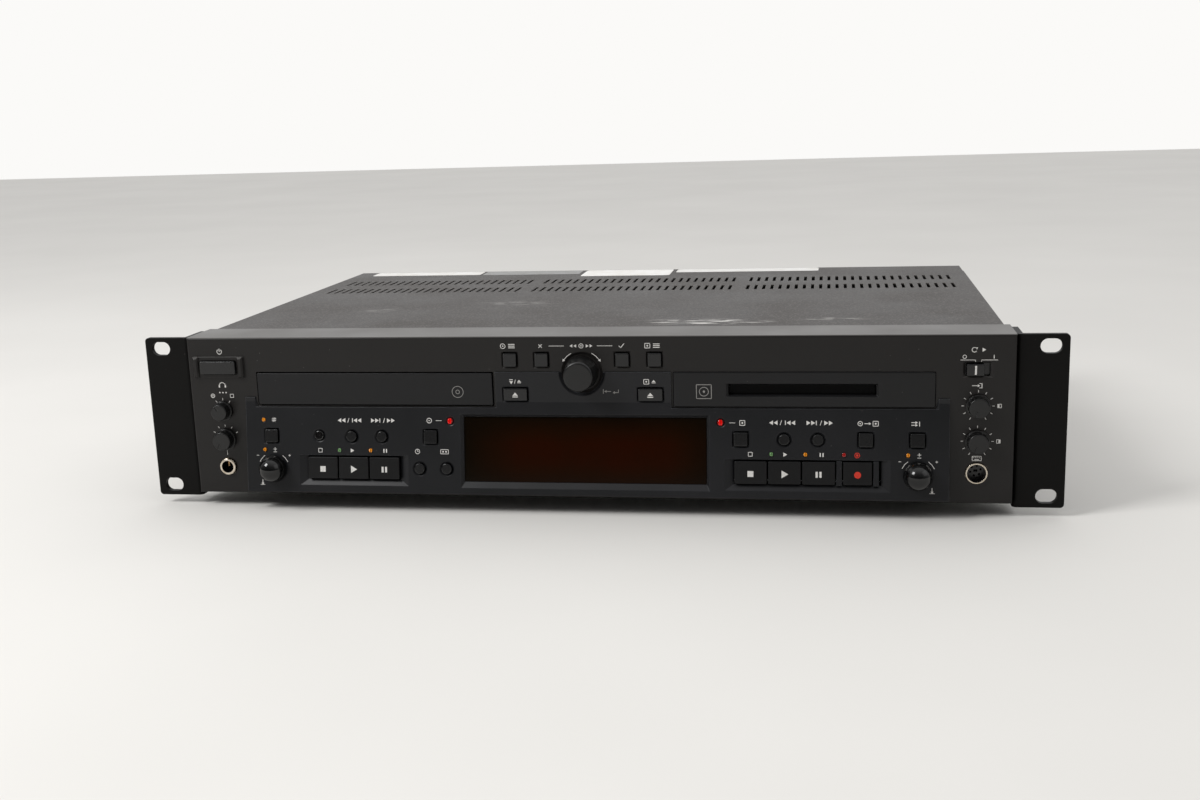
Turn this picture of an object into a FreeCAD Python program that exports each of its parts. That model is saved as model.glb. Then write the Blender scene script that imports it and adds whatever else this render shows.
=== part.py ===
import FreeCAD, Part
import math
import os

V = FreeCAD.Vector

# Sizes are millimetres. While the deck is built, X runs to the right, Y runs back from the
# front plane of the rack ears and Z runs up from the lower edge of the ears.

# Fits shared by all pieces
SEAT_GAP = 0.2
RUNNING_GAP = 0.3
PIN_CLEARANCE = 0.05
BUTTON_TRAVEL = 1.0

# Rack ears, for a panel two units high in a 19 inch rack
RACK_WIDTH = 482.6
RACK_HEIGHT = 88.1
RACK_SLOT_INSET = 8.75
RACK_SLOT_MARGIN = 5.95
EAR_REACH = 25.3
RACK_SLOT_LENGTH = 10.5
RACK_SLOT_HEIGHT = 7.4
EAR_THICKNESS = 3.0
EAR_CORNER_RADIUS = 2.0
EAR_LEG_LENGTH = 62.0
EAR_LEG_STEP_DEPTH = 22.0
EAR_LEG_LOW_TOP = 66.0
EAR_LEG_LOW_BOTTOM = 10.0

# Case, which fills the width between the ears
CASE_WIDTH = RACK_WIDTH - 2 * EAR_REACH
CASE_DEPTH = 280.0
CASE_BOTTOM = 2.5
COVER_TOP = 88.0
COVER_THICKNESS = 1.0
SHOULDER_WIDTH = 3.0
SHOULDER_DROP = 3.5
CHASSIS_THICKNESS = 1.2
CHASSIS_FLANGE = 9.0
CHASSIS_LIP = 6.0

# Places and widths across the front are written for a case LAYOUT_WIDTH wide, and across()
# fits them to the width that the case has
LAYOUT_WIDTH = 432.0


def across(length):
    return length * CASE_WIDTH / LAYOUT_WIDTH


# Vent slots in the cover, two rows of three groups
VENT_WIDTH = 2.0
VENT_LENGTH = 20.0
VENT_SPACING = across(5.06)
VENT_COUNT = 26
VENT_GROUP_SPACING = across(137.8)
VENT_REAR_MARGIN = 59.5
VENT_ROW_SPACING = 38.5

# Fascia, the front moulding
FASCIA_PROUD = 3.0
FASCIA_WALL = 2.5
FASCIA_BOTTOM = 2.5
FASCIA_TOP = 88.5
FASCIA_TOP_DEPTH = 27.0
FASCIA_SOLE_DEPTH = 12.0
FASCIA_EDGE_RADIUS = 1.0

# Control panel, whose face leans out from the bend line down to its lower edge
PANEL_MARGIN = 31.4
PANEL_WIDTH = CASE_WIDTH - 2 * PANEL_MARGIN
PANEL_TOP = 51.1
PANEL_BOTTOM = 5.6
PANEL_BEND = 54.0
PANEL_PROUD = 3.8
PANEL_FOOT_PROUD = 10.6
PANEL_WALL = 3.0
PANEL_SKIRT = 2.0
PANEL_SKIRT_INSET = 2.0
PANEL_TAB_WIDTH = 5.4
PANEL_TAB_TOP = 56.3
PANEL_GUSSET_WIDTH = 1.4
HUMP_WIDTH = across(92.0)
HUMP_TOP = 69.9

# Disc tray opening, mirrored by the bezel of the minidisc slot
BAY_CENTRE_X = across(112.4)
BAY_WIDTH = across(130.6)
BAY_BOTTOM = 51.7
BAY_TOP = 69.9
BAY_PROUD = 3.8
DOOR_GAP = 0.6
DOOR_THICKNESS = 4.0

# Disc tray and its drive
TRAY_MARGIN = 1.8
TRAY_WIDTH = BAY_WIDTH - 2 * TRAY_MARGIN
TRAY_LENGTH = 166.0
TRAY_TOP = 62.4
TRAY_PLATE = 5.4
TRAY_RAIL_WIDTH = 3.0
TRAY_RAIL_BOTTOM = 53.6
TRAY_TRAVEL = 140.0
DISC_MARGIN = 2.8
DISC_DIAMETER = TRAY_WIDTH - 2 * DISC_MARGIN
DISC_RECESS = 2.2
SMALL_DISC_DIAMETER = 81.4
SMALL_DISC_RECESS = 1.2
DISC_CENTRE_DEPTH = 70.0
SPINDLE_SLOT_WIDTH = 38.0
TRAY_REAR_BAR = 18.0
GEAR_MODULE = 1.0
PINION_TEETH = 20
GEAR_WIDTH = 3.0
GEAR_BACKLASH = 0.3
GEAR_TIP_GAP = 0.25
PINION_DEPTH = 26.0
PINION_HUB_RADIUS = 4.0
PINION_PIN_RADIUS = 1.5
RACK_BAR_WIDTH = 3.0

# Minidisc slot, its flap and its mechanism
SLOT_CENTRE_X = across(112.05)
SLOT_WIDTH = across(73.7)
SLOT_BOTTOM = 57.9
SLOT_HEIGHT = 5.3
SLOT_BEVEL = 1.3
BEZEL_THICKNESS = 2.8
FLAP_THICKNESS = 1.0
FLAP_KNUCKLE_RADIUS = 0.8
FLAP_PIN_LENGTH = 2.0
FLAP_AXIS_DEPTH = 0.2
FLAP_AXIS_RISE = 1.3
FLAP_OVERLAP = 0.5
FLAP_EAR_REACH = 2.4
FLAP_OPEN_DEGREES = 85.0
HOLDER_DEPTH = 72.0
HOLDER_WALL = 1.4

# Display
WINDOW_WIDTH = across(127.6)
WINDOW_BOTTOM = 12.3
WINDOW_TOP = 46.0
WINDOW_THICKNESS = 2.0
WINDOW_RECESS = 1.8
WINDOW_BEVEL_SIDE = 1.6
WINDOW_BEVEL_FOOT = 3.2
TUBE_MARGIN = 4.8
TUBE_WIDTH = WINDOW_WIDTH - 2 * TUBE_MARGIN
TUBE_BOTTOM = 15.0
TUBE_TOP = 43.0
TUBE_THICKNESS = 7.0

# Front circuit board
BOARD_THICKNESS = 1.6
BOARD_DEPTH = 14.0
BOARD_MARGIN = 9.0
BOARD_HALF_WIDTH = CASE_WIDTH / 2 - BOARD_MARGIN
BOARD_BOTTOM = 9.0
BOARD_MIDDLE_TOP = 45.0
BOARD_WING_TOP = 80.0
BOARD_WING_WIDTH = 22.0
BOARD_HUB_WIDTH = across(74.0)
POT_SIZE = 10.0
POT_FRONT = 4.0

# Push buttons
FLANGE_THICKNESS = 1.0
FLANGE_LIP = 0.8
SQUARE_BUTTON = 7.0
ROUND_BUTTON = 5.6
DOOR_BUTTON_WIDTH = 12.5
DOOR_BUTTON_HEIGHT = 6.5
BUTTON_PROUD = 1.0
BUTTON_CORNER = 0.6
BUTTON_EDGE = 0.4
HOLE_BEVEL = 0.6
ROUND_BEVEL = 1.0
MENU_COLUMN = across(37.8)
ANSWER_COLUMN = across(21.1)
DOOR_BUTTON_COLUMN = across(35.4)
KEY_BUTTON_COLUMN = across(-170.2)
CD_BACK_COLUMN = across(-125.3)
CD_FORWARD_COLUMN = across(-108.6)
CD_SELECT_COLUMN = across(-81.8)
TIME_COLUMN = across(-88.0)
DISPLAY_COLUMN = across(-73.2)
MD_SELECT_COLUMN = across(81.3)
MD_BACK_COLUMN = across(103.2)
MD_FORWARD_COLUMN = across(120.1)
DUBBING_COLUMN = across(143.8)
INPUT_SELECT_COLUMN = across(169.1)
MENU_ROW = 76.2
UPPER_ROW = 35.6
LOWER_ROW = 18.9
DOOR_BUTTON_ROW = 58.1

# Transport keys, side by side in a bevelled well
KEY_WIDTH = across(16.4)
KEY_GAP = 0.7
KEY_BOTTOM = 13.0
KEY_HEIGHT = 11.6
KEY_MARGIN = 0.4
KEY_PROUD = 0.3
RECORD_KEY_WIDTH = across(14.3)
SPACER_WIDTH = across(2.6)
CD_WELL_START = across(-149.9)
MD_WELL_START = across(78.1)
WELL_DEPTH = 1.8
WELL_BEVEL_SIDE = across(4.6)
WELL_BEVEL_FOOT = 3.2
WELL_BEVEL_TOP = 0.6

# Power button and its collar
POWER_X = across(-198.6)
POWER_ROW = 72.5
POWER_WIDTH = 20.0
POWER_HEIGHT = 7.0
POWER_PROUD = 2.4
POWER_TRAVEL = 3.0
COLLAR_WIDTH = 28.4
COLLAR_HEIGHT = 11.4
COLLAR_PROUD = 2.2
COLLAR_POST_WIDTH = 3.2
COLLAR_BAR_PROUD = 0.7

# Slide switch for continuous play
SWITCH_ROW = 70.9
SWITCH_X = across(197.7)
SWITCH_SLOT_WIDTH = 12.0
SWITCH_SLOT_HEIGHT = 6.6
SWITCH_CAP_WIDTH = 8.4
SWITCH_PROUD = 1.4
SWITCH_TRAVEL = 2.4

# Rotary knobs
SELECTOR_RADIUS = 5.3
LEVEL_RADIUS = 5.9
SMALL_KNOB_LENGTH = 6.8
KNOB_SKIRT = 1.6
KNOB_FACE_SHRINK = 0.5
SHAFT_RADIUS = 3.0
KNOB_BORE_DEPTH = 6.0
POINTER_WIDTH = 0.8
POINTER_DEPTH = 0.3
SELECTOR_REST = -33.0
LEVEL_REST = -150.0
JOG_ROW = 69.6
JOG_BASE_RADIUS = 8.8
JOG_FACE_RADIUS = 7.6
JOG_LENGTH = 12.0
JOG_RIM = 1.2
JOG_DISH_RADIUS = 12.2
JOG_DISH_FLOOR_RADIUS = 9.4
JOG_DISH_DEPTH = 1.6
PITCH_ROW = 18.0
PITCH_X = across(169.5)
PITCH_RADIUS = 6.8
PITCH_LENGTH = 10.0
PITCH_FLARE = 0.6
PUSH_TRAVEL = 1.0
PHONES_X = across(-198.1)
INPUT_X = across(198.2)
SELECTOR_ROW = 48.7
LEVEL_ROW = 32.8
INPUT_LEFT_ROW = 52.7
INPUT_RIGHT_ROW = 34.7

# Lenses in the front
LED_RADIUS = 1.05
SELECT_LED_RADIUS = 1.5
LED_PROUD = 0.5
LED_SHOULDER = 0.4
SENSOR_RADIUS = 2.5
SENSOR_COLUMN = across(-143.5)
SENSOR_ROW = 36.0
KEY_LIGHT_COLUMN = across(-174.7)
KEY_LIGHT_ROW = 44.2
SELECT_LIGHT_COLUMN = across(71.1)
SELECT_LIGHT_ROW = 44.0
KEY_LIGHTS_ROW = 28.2
CD_PITCH_LIGHT_COLUMN = across(-174.2)
CD_PLAY_LIGHT_COLUMN = across(-132.2)
CD_READY_LIGHT_COLUMN = across(-114.9)
MD_PLAY_LIGHT_COLUMN = across(96.8)
MD_READY_LIGHT_COLUMN = across(113.9)
RECORD_LIGHT_COLUMN = across(133.1)
MD_PITCH_LIGHT_COLUMN = across(164.6)

# Sockets in the front
JACK_ROW = 17.5
JACK_RING_RADIUS = 4.6
JACK_BORE_RADIUS = 3.25
JACK_RING_PROUD = 1.6
JACK_THREAD_LENGTH = 6.0
JACK_RING_ROUND = 0.6
JACK_END_WALL = 1.0
JACK_BODY_WIDTH = 12.0
KEYBOARD_ROW = 18.3
KEYBOARD_RING_RADIUS = 5.3
KEYBOARD_RING_WALL = 0.7
KEYBOARD_RING_PROUD = 1.0
KEYBOARD_RECESS = 6.0
KEYBOARD_BODY_WIDTH = 14.0
KEYBOARD_CONTACTS = 6
KEYBOARD_CONTACT_CIRCLE = 2.6
KEYBOARD_CONTACT_RADIUS = 0.5
KEYBOARD_CONTACT_DEPTH = 4.0
KEYBOARD_KEY_WIDTH = 1.8
KEYBOARD_KEY_HEIGHT = 1.0
KEYBOARD_KEY_DEPTH = 3.0

# Sockets in the rear wall
PHONO_RADIUS = 4.2
PHONO_LENGTH = 8.5
PHONO_BORE = 1.6
PHONO_COLLAR = 5.6
PHONO_SPACING = across(18.0)
PHONO_LOW_ROW = 28.0
PHONO_HIGH_ROW = 48.0
PHONO_FIRST_X = across(-150.0)
PHONO_COLUMNS = 4
COAXIAL_X = across(-60.0)
OPTICAL_X = across(-22.0)
OPTICAL_SIZE = 9.6
OPTICAL_PROUD = 2.0
SOCKET_BODY_DEPTH = 12.0
INLET_X = across(165.0)
INLET_ROW = 38.0
INLET_WIDTH = 27.0
INLET_HEIGHT = 19.6
INLET_RIM = 3.6
INLET_PROUD = 1.6
INLET_DEPTH = 22.0
INLET_CAVITY = 16.0
INLET_PIN_GAP = 5.5
INLET_WALL = 2.0
INLET_CORNER = 2.0
BLADE_WIDTH = 2.0
BLADE_HEIGHT = 4.0
BLADE_SPACING = 7.0
BLADE_DROP = 1.5

# Feet and screws
FOOT_RADIUS = 11.0
FOOT_CLEARANCE = 5.0
FOOT_TAPER = 1.5
FOOT_MARGIN = 36.0
FOOT_FRONT_DEPTH = 42.0
FOOT_REAR_MARGIN = 30.0
SCREW_RADIUS = 1.5
SCREW_HEAD_RADIUS = 3.0
SCREW_HEAD_HEIGHT = 1.8
SCREW_LENGTH = 8.0
SCREW_HOLE_GAP = 0.1
EAR_SCREW_FRONT_DEPTH = 36.0
EAR_SCREW_REAR_DEPTH = 52.0
EAR_SCREW_ROW = 38.0
EAR_SCREW_SPREAD = 16.0
COVER_SCREW_ROW = 40.0
COVER_SCREW_REAR_MARGIN = 18.0
COVER_SCREW_SPACING = 112.0
REAR_SCREW_MARGIN = 16.0
REAR_SCREW_COLUMN = across(70.0)
REAR_SCREW_HIGH_ROW = 76.0
REAR_SCREW_LOW_ROW = 12.0

# Internal pieces
DECK_PLATE = 2.0
DRIVE_FRONT = 9.0
CD_DRIVE_LENGTH = 178.0
CD_DRIVE_BOTTOM = 46.0
CD_DRIVE_TOP = 74.0
CD_SIDE_WALL = 2.0
CD_LEG_INSET = 10.0
CD_LEG_FRONT = 15.0
CD_LEG_REAR = 10.0
TURNTABLE_RADIUS = 14.0
MOTOR_RADIUS = 11.0
MD_DRIVE_LENGTH = 100.0
MD_DRIVE_BOTTOM = 46.0
MD_LEG_INSET = 4.0
MD_LEG_FRONT = 12.0
MD_LEG_REAR = 8.0
MD_PROP_FRONT = 4.0
MD_PROP_REAR = 10.0
MAIN_BOARD_HEIGHT = 10.0
MAIN_BOARD_START_X = across(-48.0)
MAIN_BOARD_END_X = across(120.0)
MAIN_BOARD_FRONT = 118.0
MAIN_BOARD_REAR_MARGIN = 22.0
CHIP_SIZE = 20.0
CHIP_HEIGHT = 3.0
CHIP_SPACING = across(40.0)
CHIP_FRONT = 40.0
CAN_RADIUS = 6.0
CAN_HEIGHT = 18.0
CAN_SPACING = across(20.0)
CAN_MARGIN = 20.0
SUPPLY_START_X = across(128.0)
SUPPLY_END_X = across(205.0)
SUPPLY_REAR_MARGIN = 50.0
SUPPLY_LENGTH = 100.0
TRANSFORMER_SIZE = 46.0
TRANSFORMER_HEIGHT = 38.0
TRANSFORMER_FRONT = 8.0
TANK_RADIUS = 9.0
TANK_HEIGHT = 26.0
TANK_SPACING = across(22.0)
STANDOFF_RADIUS = 3.0
STANDOFF_INSET = 6.0

# Sizes worked out from the ones above
CASE_HALF = CASE_WIDTH / 2
COVER_INNER = CASE_HALF - COVER_THICKNESS
COVER_TOP_HALF = CASE_HALF - SHOULDER_WIDTH
CHASSIS_HALF = COVER_TOP_HALF - COVER_THICKNESS - RUNNING_GAP
COVER_UNDERSIDE = COVER_TOP - COVER_THICKNESS
FASCIA_BACK = FASCIA_WALL - FASCIA_PROUD
PANEL_LEAN = math.atan((PANEL_FOOT_PROUD - PANEL_PROUD) / (PANEL_BEND - PANEL_BOTTOM))
PANEL_HALF = PANEL_WIDTH / 2
SKIRT_HALF = PANEL_HALF - PANEL_SKIRT_INSET
SKIRT_BOTTOM = PANEL_BOTTOM + PANEL_SKIRT_INSET
SKIRT_TOP = PANEL_TOP - PANEL_SKIRT_INSET
HUMP_HALF = HUMP_WIDTH / 2
PITCH_CIRCLE = GEAR_MODULE * PINION_TEETH / 2
TRAY_X = -BAY_CENTRE_X
SLOT_TOP = SLOT_BOTTOM + SLOT_HEIGHT
FLAP_AXIS_HEIGHT = SLOT_TOP + FLAP_AXIS_RISE
PUSH_ROOM = PUSH_TRAVEL + RUNNING_GAP


def box(x0, x1, y0, y1, z0, z1):
    return Part.makeBox(x1 - x0, y1 - y0, z1 - z0, V(x0, y0, z0))


def rod_y(x, z, radius, y0, y1):
    return Part.makeCylinder(radius, y1 - y0, V(x, y0, z), V(0, 1, 0))


def rod_z(x, y, radius, z0, z1):
    return Part.makeCylinder(radius, z1 - z0, V(x, y, z0), V(0, 0, 1))


def rod_x(y, z, radius, x0, x1):
    return Part.makeCylinder(radius, x1 - x0, V(x0, y, z), V(1, 0, 0))


def cone_y(x, z, front_radius, back_radius, y0, y1):
    return Part.makeCone(front_radius, back_radius, y1 - y0, V(x, y0, z), V(0, 1, 0))


def prism_x(points, x0, x1):
    corners = [V(x0, y, z) for y, z in points]
    face = Part.Face(Part.makePolygon(corners + corners[:1]))
    return face.extrude(V(x1 - x0, 0, 0))


def prism_z(points, z0, z1):
    corners = [V(x, y, z0) for x, y in points]
    face = Part.Face(Part.makePolygon(corners + corners[:1]))
    return face.extrude(V(0, 0, z1 - z0))


def fuse(shapes):
    shapes = list(shapes)
    return shapes[0].multiFuse(shapes[1:]).removeSplitter() if len(shapes) > 1 else shapes[0]


def cut(shape, tools):
    tools = list(tools)
    return shape.cut(tools) if tools else shape


def rounded_box(x0, x1, y0, y1, z0, z1, corner, edge=0.0):
    """A block seen from the front: its four long edges rounded, its front face edges softened."""
    solid = box(x0, x1, y0, y1, z0, z1)
    solid = solid.makeFillet(corner, [e for e in solid.Edges if runs_along_y(e)])
    if edge:
        solid = solid.makeFillet(edge, [e for e in solid.Edges if lies_at_y(e, y0)])
    return solid


def runs_along_y(edge):
    ends = [vertex.Point for vertex in edge.Vertexes]
    return len(ends) == 2 and abs(ends[0].x - ends[1].x) < 1e-6 and abs(ends[0].z - ends[1].z) < 1e-6


def lies_at_y(edge, y):
    bounds = edge.BoundBox
    return abs(bounds.YMin - y) < 1e-4 and abs(bounds.YMax - y) < 1e-4


def bevelled_pocket(x0, x1, z0, z1, depth, side, foot, top):
    """A pocket in the face: a floor of the given size with walls that slope out to the front."""
    front = [V(x0 - side, 0, z0 - foot), V(x1 + side, 0, z0 - foot)]
    front += [V(x1 + side, 0, z1 + top), V(x0 - side, 0, z1 + top)]
    floor = [V(x0, depth, z0), V(x1, depth, z0), V(x1, depth, z1), V(x0, depth, z1)]
    wires = [Part.makePolygon(ring + ring[:1]) for ring in (front, floor)]
    return Part.makeLoft(wires, True, True)


class Face:
    """One front surface: how far it stands proud of the ears, its wall and whether it leans."""

    def __init__(self, proud, wall, leans=False):
        self.proud = proud
        self.wall = wall
        self.leans = leans

    def depth_at(self, z):
        lean = math.tan(PANEL_LEAN) * (PANEL_BEND - z) if self.leans else 0.0
        return -self.proud - lean

    def put(self, shape, x, z):
        """Move a shape from the face's own place to (x, z), square to the face."""
        turn = -math.degrees(PANEL_LEAN) if self.leans else 0.0
        place = FreeCAD.Placement(V(x, self.depth_at(z), z), FreeCAD.Rotation(V(1, 0, 0), turn))
        moved = shape.copy()
        moved.Placement = place.multiply(moved.Placement)
        return moved


FLAT = Face(FASCIA_PROUD, FASCIA_WALL)
HUMP = Face(PANEL_PROUD, PANEL_PROUD + FASCIA_BACK)
LEAN = Face(PANEL_PROUD, PANEL_WALL, leans=True)


class Button:
    """A push button: a cap in a hole of its face, held in by a flange behind the wall."""

    def __init__(self, name, face, x, z, width, height=None, proud=BUTTON_PROUD, travel=BUTTON_TRAVEL):
        self.name = name
        self.face = face
        self.x = x
        self.z = z
        self.width = width
        self.height = height
        self.proud = proud
        self.travel = travel

    def outline(self, grow, y0, y1, corner=BUTTON_CORNER, edge=0.0):
        if self.height is None:
            disc = rod_y(0, 0, self.width / 2 + grow, y0, y1)
            rim = [e for e in disc.Edges if lies_at_y(e, y0)]
            return disc.makeFillet(edge, rim) if edge else disc
        half_x = self.width / 2 + grow
        half_z = self.height / 2 + grow
        return rounded_box(-half_x, half_x, y0, y1, -half_z, half_z, corner, edge)

    def cap(self):
        back = self.face.wall + RUNNING_GAP
        stem = self.outline(0, -self.proud, back + FLANGE_THICKNESS, edge=BUTTON_EDGE)
        flange = self.outline(RUNNING_GAP + FLANGE_LIP, back, back + FLANGE_THICKNESS)
        return self.face.put(fuse([stem, flange]), self.x, self.z)

    def hole(self):
        through = self.outline(RUNNING_GAP, -self.face.proud, self.face.wall + 1.0)
        return self.face.put(fuse([through, self.bevel()]), self.x, self.z)

    def bevel(self):
        if self.height is None:
            inner = self.width / 2 + RUNNING_GAP
            return cone_y(0, 0, inner + ROUND_BEVEL, inner, 0, ROUND_BEVEL * 0.6)
        half_x = self.width / 2 + RUNNING_GAP
        half_z = self.height / 2 + RUNNING_GAP
        return bevelled_pocket(-half_x, half_x, -half_z, half_z, HOLE_BEVEL,
                               HOLE_BEVEL, HOLE_BEVEL, HOLE_BEVEL)


def square(name, face, x, z):
    return Button(name, face, x, z, SQUARE_BUTTON, SQUARE_BUTTON)


BUTTONS = [
    square("cd_menu_button", FLAT, -MENU_COLUMN, MENU_ROW),
    square("no_button", FLAT, -ANSWER_COLUMN, MENU_ROW),
    square("yes_button", FLAT, ANSWER_COLUMN, MENU_ROW),
    square("md_menu_button", FLAT, MENU_COLUMN, MENU_ROW),
    Button("tray_button", HUMP, -DOOR_BUTTON_COLUMN, DOOR_BUTTON_ROW, DOOR_BUTTON_WIDTH,
           DOOR_BUTTON_HEIGHT),
    Button("eject_button", HUMP, DOOR_BUTTON_COLUMN, DOOR_BUTTON_ROW, DOOR_BUTTON_WIDTH,
           DOOR_BUTTON_HEIGHT),
    square("key_button", LEAN, KEY_BUTTON_COLUMN, UPPER_ROW),
    Button("cd_skip_back_button", LEAN, CD_BACK_COLUMN, UPPER_ROW, ROUND_BUTTON),
    Button("cd_skip_forward_button", LEAN, CD_FORWARD_COLUMN, UPPER_ROW, ROUND_BUTTON),
    square("cd_select_button", LEAN, CD_SELECT_COLUMN, UPPER_ROW),
    Button("time_button", LEAN, TIME_COLUMN, LOWER_ROW, ROUND_BUTTON),
    Button("display_button", LEAN, DISPLAY_COLUMN, LOWER_ROW, ROUND_BUTTON),
    square("md_select_button", LEAN, MD_SELECT_COLUMN, UPPER_ROW),
    Button("md_skip_back_button", LEAN, MD_BACK_COLUMN, UPPER_ROW, ROUND_BUTTON),
    Button("md_skip_forward_button", LEAN, MD_FORWARD_COLUMN, UPPER_ROW, ROUND_BUTTON),
    square("dubbing_button", LEAN, DUBBING_COLUMN, UPPER_ROW),
    square("input_select_button", LEAN, INPUT_SELECT_COLUMN, UPPER_ROW),
]
POWER = Button("power_button", FLAT, POWER_X, POWER_ROW, POWER_WIDTH, POWER_HEIGHT,
               POWER_PROUD, POWER_TRAVEL)

KEY_PITCH = KEY_WIDTH + KEY_GAP
CD_WELL_END = CD_WELL_START + 2 * KEY_PITCH + KEY_WIDTH
MD_PAUSE_END = MD_WELL_START + 2 * KEY_PITCH + KEY_WIDTH
RECORD_START = MD_PAUSE_END + SPACER_WIDTH + 2 * KEY_GAP
RECORD_END = RECORD_START + RECORD_KEY_WIDTH
MD_WELL_END = RECORD_END + SPACER_WIDTH + 2 * KEY_GAP
KEY_CENTRE = KEY_BOTTOM + KEY_HEIGHT / 2
KEYS = [(f"cd_{word}_key", CD_WELL_START + i * KEY_PITCH, KEY_WIDTH)
        for i, word in enumerate(("stop", "play", "pause"))]
KEYS += [(f"md_{word}_key", MD_WELL_START + i * KEY_PITCH, KEY_WIDTH)
         for i, word in enumerate(("stop", "play", "pause"))]
KEYS += [("record_key", RECORD_START, RECORD_KEY_WIDTH)]
WELLS = [(CD_WELL_START, CD_WELL_END), (MD_WELL_START, MD_WELL_END)]
SPACERS = [MD_PAUSE_END + KEY_GAP, RECORD_END + KEY_GAP]

LEDS = [(x, KEY_LIGHTS_ROW, LED_RADIUS) for x in (
    CD_PITCH_LIGHT_COLUMN, CD_PLAY_LIGHT_COLUMN, CD_READY_LIGHT_COLUMN, MD_PLAY_LIGHT_COLUMN,
    MD_READY_LIGHT_COLUMN, RECORD_LIGHT_COLUMN, MD_PITCH_LIGHT_COLUMN)]
LEDS += [(KEY_LIGHT_COLUMN, KEY_LIGHT_ROW, LED_RADIUS)]
# The lenses that sit in a bevelled ring: the two select lights and the wide sensor
RINGED_LENSES = [(side * SELECT_LIGHT_COLUMN, SELECT_LIGHT_ROW, SELECT_LED_RADIUS) for side in (-1, 1)]
RINGED_LENSES += [(SENSOR_COLUMN, SENSOR_ROW, SENSOR_RADIUS)]

# Each small knob's place, radius and the clockwise angle of its pointer from straight up at rest
SMALL_KNOBS = [
    ("phones_selector_knob", PHONES_X, SELECTOR_ROW, SELECTOR_RADIUS, SELECTOR_REST),
    ("phones_level_knob", PHONES_X, LEVEL_ROW, LEVEL_RADIUS, LEVEL_REST),
    ("input_left_knob", INPUT_X, INPUT_LEFT_ROW, LEVEL_RADIUS, LEVEL_REST),
    ("input_right_knob", INPUT_X, INPUT_RIGHT_ROW, LEVEL_RADIUS, LEVEL_REST),
]


def key_block(x0, x1, grow, y0, y1):
    half = KEY_HEIGHT / 2 + grow
    return box(x0 - grow, x1 + grow, y0, y1, -half, half)


def transport_key(x0, width):
    """A flat key, its flange above and below only, because its neighbours lie close beside it."""
    half = KEY_HEIGHT / 2
    back = PANEL_WALL + RUNNING_GAP
    body = rounded_box(x0, x0 + width, -KEY_PROUD, back + FLANGE_THICKNESS, -half, half,
                       BUTTON_CORNER, BUTTON_EDGE)
    reach = half + KEY_MARGIN + FLANGE_LIP
    flange = box(x0, x0 + width, back, back + FLANGE_THICKNESS, -reach, reach)
    return LEAN.put(fuse([body, flange]), 0, KEY_CENTRE)


def key_well(x0, x1):
    half = KEY_HEIGHT / 2 + KEY_MARGIN
    opening = key_block(x0, x1, KEY_MARGIN, -1.0, PANEL_WALL + 1.0)
    pocket = bevelled_pocket(x0 - KEY_MARGIN, x1 + KEY_MARGIN, -half, half, WELL_DEPTH,
                             WELL_BEVEL_SIDE, WELL_BEVEL_FOOT, WELL_BEVEL_TOP)
    return LEAN.put(fuse([opening, pocket]), 0, KEY_CENTRE)


def key_spacer(x0):
    """A fixed bar between keys, part of the control panel and as high as the well."""
    half = KEY_HEIGHT / 2 + KEY_MARGIN
    return LEAN.put(box(x0, x0 + SPACER_WIDTH, 0, PANEL_WALL, -half, half), 0, KEY_CENTRE)


def window_centre():
    return (WINDOW_BOTTOM + WINDOW_TOP) / 2


def window_half_height():
    return (WINDOW_TOP - WINDOW_BOTTOM) / 2 / math.cos(PANEL_LEAN)


def window_opening():
    half_x = WINDOW_WIDTH / 2 + SEAT_GAP
    half_z = window_half_height() + SEAT_GAP
    hole = box(-half_x, half_x, -1.0, PANEL_WALL + 1.0, -half_z, half_z)
    pocket = bevelled_pocket(-half_x, half_x, -half_z, half_z, WINDOW_RECESS,
                             WINDOW_BEVEL_SIDE, WINDOW_BEVEL_FOOT, WINDOW_BEVEL_SIDE)
    return LEAN.put(fuse([hole, pocket]), 0, window_centre())


def make_window():
    half_x = WINDOW_WIDTH / 2
    half_z = window_half_height()
    pane = box(-half_x, half_x, WINDOW_RECESS, WINDOW_RECESS + WINDOW_THICKNESS, -half_z, half_z)
    return LEAN.put(pane, 0, window_centre())


def lens(radius):
    dome = rod_y(0, 0, radius, -LED_PROUD, PANEL_WALL + FLANGE_THICKNESS)
    return dome.makeFillet(LED_SHOULDER, [e for e in dome.Edges if lies_at_y(e, -LED_PROUD)])


def make_lenses():
    return Part.makeCompound([LEAN.put(lens(radius), x, z) for x, z, radius in LEDS + RINGED_LENSES])


def lens_holes():
    holes = [LEAN.put(rod_y(0, 0, radius + SEAT_GAP, -1.0, PANEL_WALL + 1.0), x, z)
             for x, z, radius in LEDS + RINGED_LENSES]
    holes += [LEAN.put(cone_y(0, 0, radius + SEAT_GAP + ROUND_BEVEL, radius + SEAT_GAP,
                              0, ROUND_BEVEL * 0.6), x, z)
              for x, z, radius in RINGED_LENSES]
    return holes


def shaft_hole(radius=SHAFT_RADIUS):
    return rod_y(0, 0, radius + RUNNING_GAP, -COLLAR_PROUD - PANEL_FOOT_PROUD, PANEL_WALL + 1.0)


def tab_gusset(side):
    """The sloping facet in the corner between a tab's inner edge and the panel's upper edge."""
    inner = side * (PANEL_HALF - PANEL_TAB_WIDTH)
    root = V(inner, -FASCIA_PROUD, PANEL_TOP)
    base = [root, V(inner, -FASCIA_PROUD, PANEL_TAB_TOP),
            V(inner - side * PANEL_GUSSET_WIDTH, -FASCIA_PROUD, PANEL_TOP)]
    peak = V(inner, LEAN.depth_at(PANEL_TOP), PANEL_TOP)
    faces = [Part.Face(Part.makePolygon(base + base[:1]))]
    for first, last in zip(base, base[1:] + base[:1]):
        faces.append(Part.Face(Part.makePolygon([first, last, peak, first])))
    return Part.Solid(Part.Shell(faces))


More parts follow.
